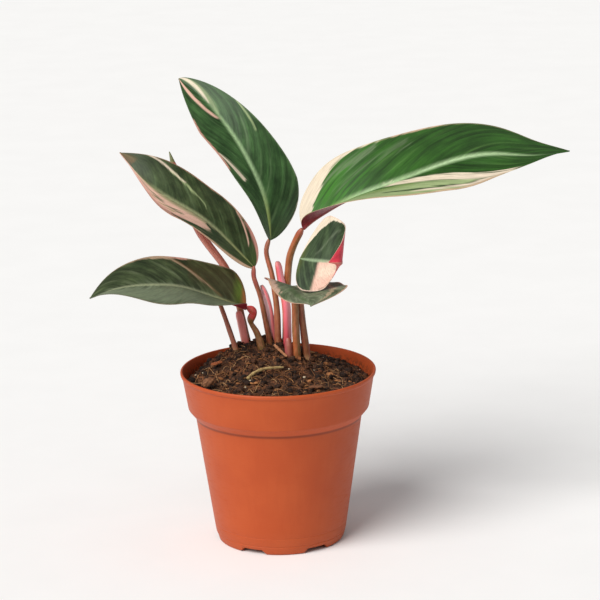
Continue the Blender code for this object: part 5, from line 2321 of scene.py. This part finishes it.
@dataclass(frozen=True)
class NurseryPot:
    """The tapered pot with its band, rolled lip, foot ring, notches and drain holes."""

    segments: int = 288
    notch_count: int = 6
    notch_first_deg: float = -116.0
    notch_width_deg: float = 24.0
    notch_height: float = 2.5
    notch_edge: Pair = (0.57, 0.36)  # shares of its width where its sloping side starts and ends
    drain_radius: float = 3.4
    drain_circle: float = 27.5
    foot_ring_from: float = 31.0
    finish: PlasticFinish = PlasticFinish()

    def profile(self) -> np.ndarray:
        """The section from the foot's middle, out and up the wall, over the lip and back down.

        Returns:
            Points of radius and height.
        """
        corners = (  # radius, height and how far each corner is rounded off
            (0.0, 0.0, 0.0), (11.0, 0.0, 0.5), (13.0, 3.0, 0.7), (31.6, 3.0, 0.3),
            (32.2, 0.0, 0.3), (33.8, 0.0, 0.5), (34.3, 0.8, 0.4),
            (35.22, 4.2, 0.3), (35.05, 4.5, 0.15), (35.40, 5.0, 0.2),
            (36.0, 9.1, 0.4), (35.88, 9.4, 0.15), (36.10, 9.7, 0.15),
            (44.7, 68.8, 1.4), (47.8, 72.6, 0.6), (48.6, 73.6, 0.5),
            (51.45, 90.9, 0.5), (52.25, 91.5, 0.4), (52.5, 92.9, 0.4), (52.1, 93.5, 0.25),
            (51.3, 93.5, 0.4), (50.4, 90.4, 1.5), (47.6, 74.3, 0.8), (46.7, 73.0, 0.6),
            (43.7, 69.3, 1.4), (34.6, 6.0, 0.8), (33.6, 4.2, 0.6),
            (14.2, 4.2, 0.8), (12.2, 1.2, 0.6), (0.0, 1.2, 0.0),
        )
        line = []
        for k, (radius, height, round_off) in enumerate(corners):
            here = np.array([radius, height])
            if round_off == 0.0:
                line.append(here)
                continue
            before = np.array(corners[k - 1][:2]) - here
            after = np.array(corners[k + 1][:2]) - here
            cut = min(round_off, 0.45 * np.linalg.norm(before), 0.45 * np.linalg.norm(after))
            one = here + before / np.linalg.norm(before) * cut
            two = here + after / np.linalg.norm(after) * cut
            for t in (0.0, 0.25, 0.5, 0.75, 1.0):
                line.append((1 - t) ** 2 * one + 2 * t * (1 - t) * here + t**2 * two)
        return self.divided(np.array(line))

    def divided(self, line: np.ndarray, longest: float = 6.0) -> np.ndarray:
        """The line with its long runs divided.

        Args:
            line: Points of radius and height.
            longest: The longest run left, in millimetres.

        Returns:
            The divided line.
        """
        made = [line[0]]
        for one, two in zip(line, line[1:]):
            parts = max(1, math.ceil(np.linalg.norm(two - one) / longest))
            for k in range(1, parts + 1):
                made.append(one + (two - one) * k / parts)
        return np.array(made)

    def notch_lift(self, turn: np.ndarray) -> np.ndarray:
        """Height of the foot above the ground at each angle, from the notches.

        Args:
            turn: Angles round the pot, in degrees.

        Returns:
            The height in millimetres.
        """
        step = 360.0 / self.notch_count
        off = np.abs((turn - self.notch_first_deg + step / 2) % step - step / 2)
        low, high = (part * self.notch_width_deg for part in self.notch_edge)
        share = np.clip((low - off) / (low - high), 0, 1)
        return self.notch_height * share**2 * (3 - 2 * share)

    def drain_cutter(self, index: int) -> bpy.types.Object:
        """A helper that cuts one round drain hole, with a small countersink.

        Args:
            index: Which hole.

        Returns:
            The helper.
        """
        centre = math.radians(self.notch_first_deg + index * 360.0 / self.notch_count)
        x, y = self.drain_circle * math.cos(centre), self.drain_circle * math.sin(centre)
        levels = np.array([(1.0, 0.5), (2.9, 0.35), (3.35, 0.0), (5.5, 0.0)])
        path = np.stack([np.full(4, x), np.full(4, y), levels[:, 0]], 1)
        shell = Shell()
        upward = np.tile((0.0, 0.0, 1.0), (4, 1))
        tube_shell(shell, path, upward, self.drain_radius + levels[:, 1], 40, (1, 0, 0))
        return shell.build(f"drain_cutter_{index}", [])

    def build(self, effects: Effects) -> None:
        """Builds the pot.

        Args:
            effects: The shared groups.
        """
        profile = self.profile()
        turn = np.linspace(0, 360.0, self.segments, endpoint=False)
        lift = self.notch_lift(turn)
        inner = profile[1:-1]
        radius = np.broadcast_to(inner[:, :1], (len(inner), self.segments))
        height = np.broadcast_to(inner[:, 1:], radius.shape).copy()
        outside = np.arange(len(inner)) < len(inner) // 2
        foot = (inner[:, 0] > self.foot_ring_from) & outside & (inner[:, 1] < self.notch_height + 0.6)
        height[foot] = np.maximum(height[foot], lift[None])
        angle = np.radians(turn)[None]
        points = np.stack([radius * np.cos(angle), radius * np.sin(angle), height], -1)
        along = np.broadcast_to(np.linspace(0, 1, len(inner))[:, None], radius.shape)
        around = np.broadcast_to((turn / 360.0)[None], radius.shape)
        shell = Shell()
        faces = grid_faces(len(inner), self.segments, closed=True)
        shell.add(points, faces, np.stack([along, around], -1))
        for row, middle in ((0, profile[0]), (len(inner) - 1, profile[-1])):
            hub = shell.add(np.array([[0.0, 0.0, middle[1]]]), [], np.array([[0.5, 0.5]]))
            for k in range(self.segments):
                after = (k + 1) % self.segments
                shell.faces.append((row * self.segments + k, row * self.segments + after, hub))
                shell.slots.append(0)
        pot = shell.build("pot_shell", [self.finish.dress(effects)])
        for index in range(self.notch_count):
            self.cut(pot, self.drain_cutter(index))
        declare(pot, "pot", "pot")

    def cut(self, pot: bpy.types.Object, cutter: bpy.types.Object) -> None:
        """Cuts a hole, and removes the helper that cut it.

        Args:
            pot: The pot.
            cutter: The helper.
        """
        step = pot.modifiers.new("drain", "BOOLEAN")
        step.operation = "DIFFERENCE"
        step.solver = "EXACT"
        step.object = cutter
        graph = bpy.context.evaluated_depsgraph_get()
        cut_mesh = bpy.data.meshes.new_from_object(pot.evaluated_get(graph))
        pot.modifiers.remove(step)
        pot.data = cut_mesh
        bpy.data.objects.remove(cutter, do_unlink=True)


# --- studio ----------------------------------------------------------------------------------


@dataclass(frozen=True)
class Studio:
    """Plain white floor, soft lamps and the camera."""

    aim: Point = (12.4, 0.0, 131.3)
    distance: float = 1350.0
    pitch_deg: float = 14.54
    roll_deg: float = -0.98
    focal: float = 4.2267  # the lens's length as a share of the sensor's width
    sensor: float = 36.0
    sky: float = 0.34
    sun_power: float = 3.3
    sun_spread_deg: float = 42.0
    sun_height_deg: float = 42.0
    sun_turn_deg: float = 42.0
    floor_reach: float = 9.0  # in metres, as the floor's gap is
    floor_gap: float = 0.0002

    def camera(self) -> None:
        """Places the camera in front, looking a little down."""
        pitch, roll = math.radians(self.pitch_deg), math.radians(self.roll_deg)
        forward = Vector((0.0, math.cos(pitch), -math.sin(pitch)))
        level = Vector((1.0, 0.0, 0.0))
        top = Vector((0.0, math.sin(pitch), math.cos(pitch)))
        right = level * math.cos(roll) + top * math.sin(roll)
        up = top * math.cos(roll) - level * math.sin(roll)
        data = bpy.data.cameras.new("front_camera")
        data.sensor_width = self.sensor
        data.lens = self.focal * self.sensor
        data.clip_start, data.clip_end = 0.01, 50.0
        made = linked(bpy.data.objects.new("front_camera", data))
        place = (Vector(self.aim) - forward * self.distance) * MM
        axes = Matrix((right, up, -forward)).transposed()
        made.matrix_world = Matrix.Translation(place) @ axes.to_4x4()
        bpy.context.scene.camera = made

    def sun(self) -> None:
        """A wide soft sun from the left, in front and above."""
        data = bpy.data.lights.new("soft_sun", "SUN")
        data.energy = self.sun_power
        data.angle = math.radians(self.sun_spread_deg)
        data.color = (1.0, 0.985, 0.96)
        made = linked(bpy.data.objects.new("soft_sun", data))
        height, turn = math.radians(self.sun_height_deg), math.radians(self.sun_turn_deg)
        level = math.cos(height)
        source = Vector((-math.sin(turn) * level, -math.cos(turn) * level, math.sin(height)))
        made.location = source
        made.rotation_euler = (-source).to_track_quat("-Z", "Y").to_euler()

    def floor(self) -> None:
        """A wide plain floor with a faint grain, which isn't part of the object."""
        mesh = bpy.data.meshes.new("floor")
        reach = self.floor_reach
        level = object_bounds()[0].z - self.floor_gap
        ends = ((-reach, -reach), (reach, -reach), (reach, reach), (-reach, reach))
        corners = [(x, y, level) for x, y in ends]
        mesh.from_pydata(corners, [], [(0, 1, 2, 3)])
        made = linked(bpy.data.objects.new("floor", mesh))
        material, pen, shader = new_material("floor_paper")
        shade = pen.span(pen.noise(pen.object_mm(), 0.02, 2.0), 0.0, 1.0, 0.90, 0.93)
        pen.feed(shader.inputs["Base Color"], pen.grey(shade))
        shader.inputs["Roughness"].default_value = 0.9
        shader.inputs["Specular IOR Level"].default_value = 0.1
        mesh.materials.append(material)
        made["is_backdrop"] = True

    def world(self) -> None:
        """An even white surround."""
        world = bpy.data.worlds.new("white_room")
        world.use_nodes = True
        back = world.node_tree.nodes["Background"]
        back.inputs["Color"].default_value = (1.0, 1.0, 1.0, 1.0)
        back.inputs["Strength"].default_value = self.sky
        bpy.context.scene.world = world
        bpy.context.scene.view_settings.view_transform = "Standard"

    def build(self) -> None:
        """Builds the whole studio."""
        self.camera()
        self.world()
        self.floor()
        self.sun()


def main() -> None:
    """Builds the pot, the mix, the plant and the studio."""
    logging.basicConfig(level=logging.INFO, format="%(name)s %(message)s")
    effects = Effects.build()
    NurseryPot().build(effects)
    mix = PottingMix()
    mix.build(effects)
    Litter(mix, effects).build()
    for blade in BLADES:
        blade.build(effects)
    SpearLeaf().build(effects)
    for index, stalk in enumerate(STALKS):
        stalk.build(effects, 1.37 * index)
    for index, sheath in enumerate(SHEATHS):
        sheath.build(effects, 0.83 * index + 0.5)
    Studio().build()


if __name__ == "__main__":
    main()
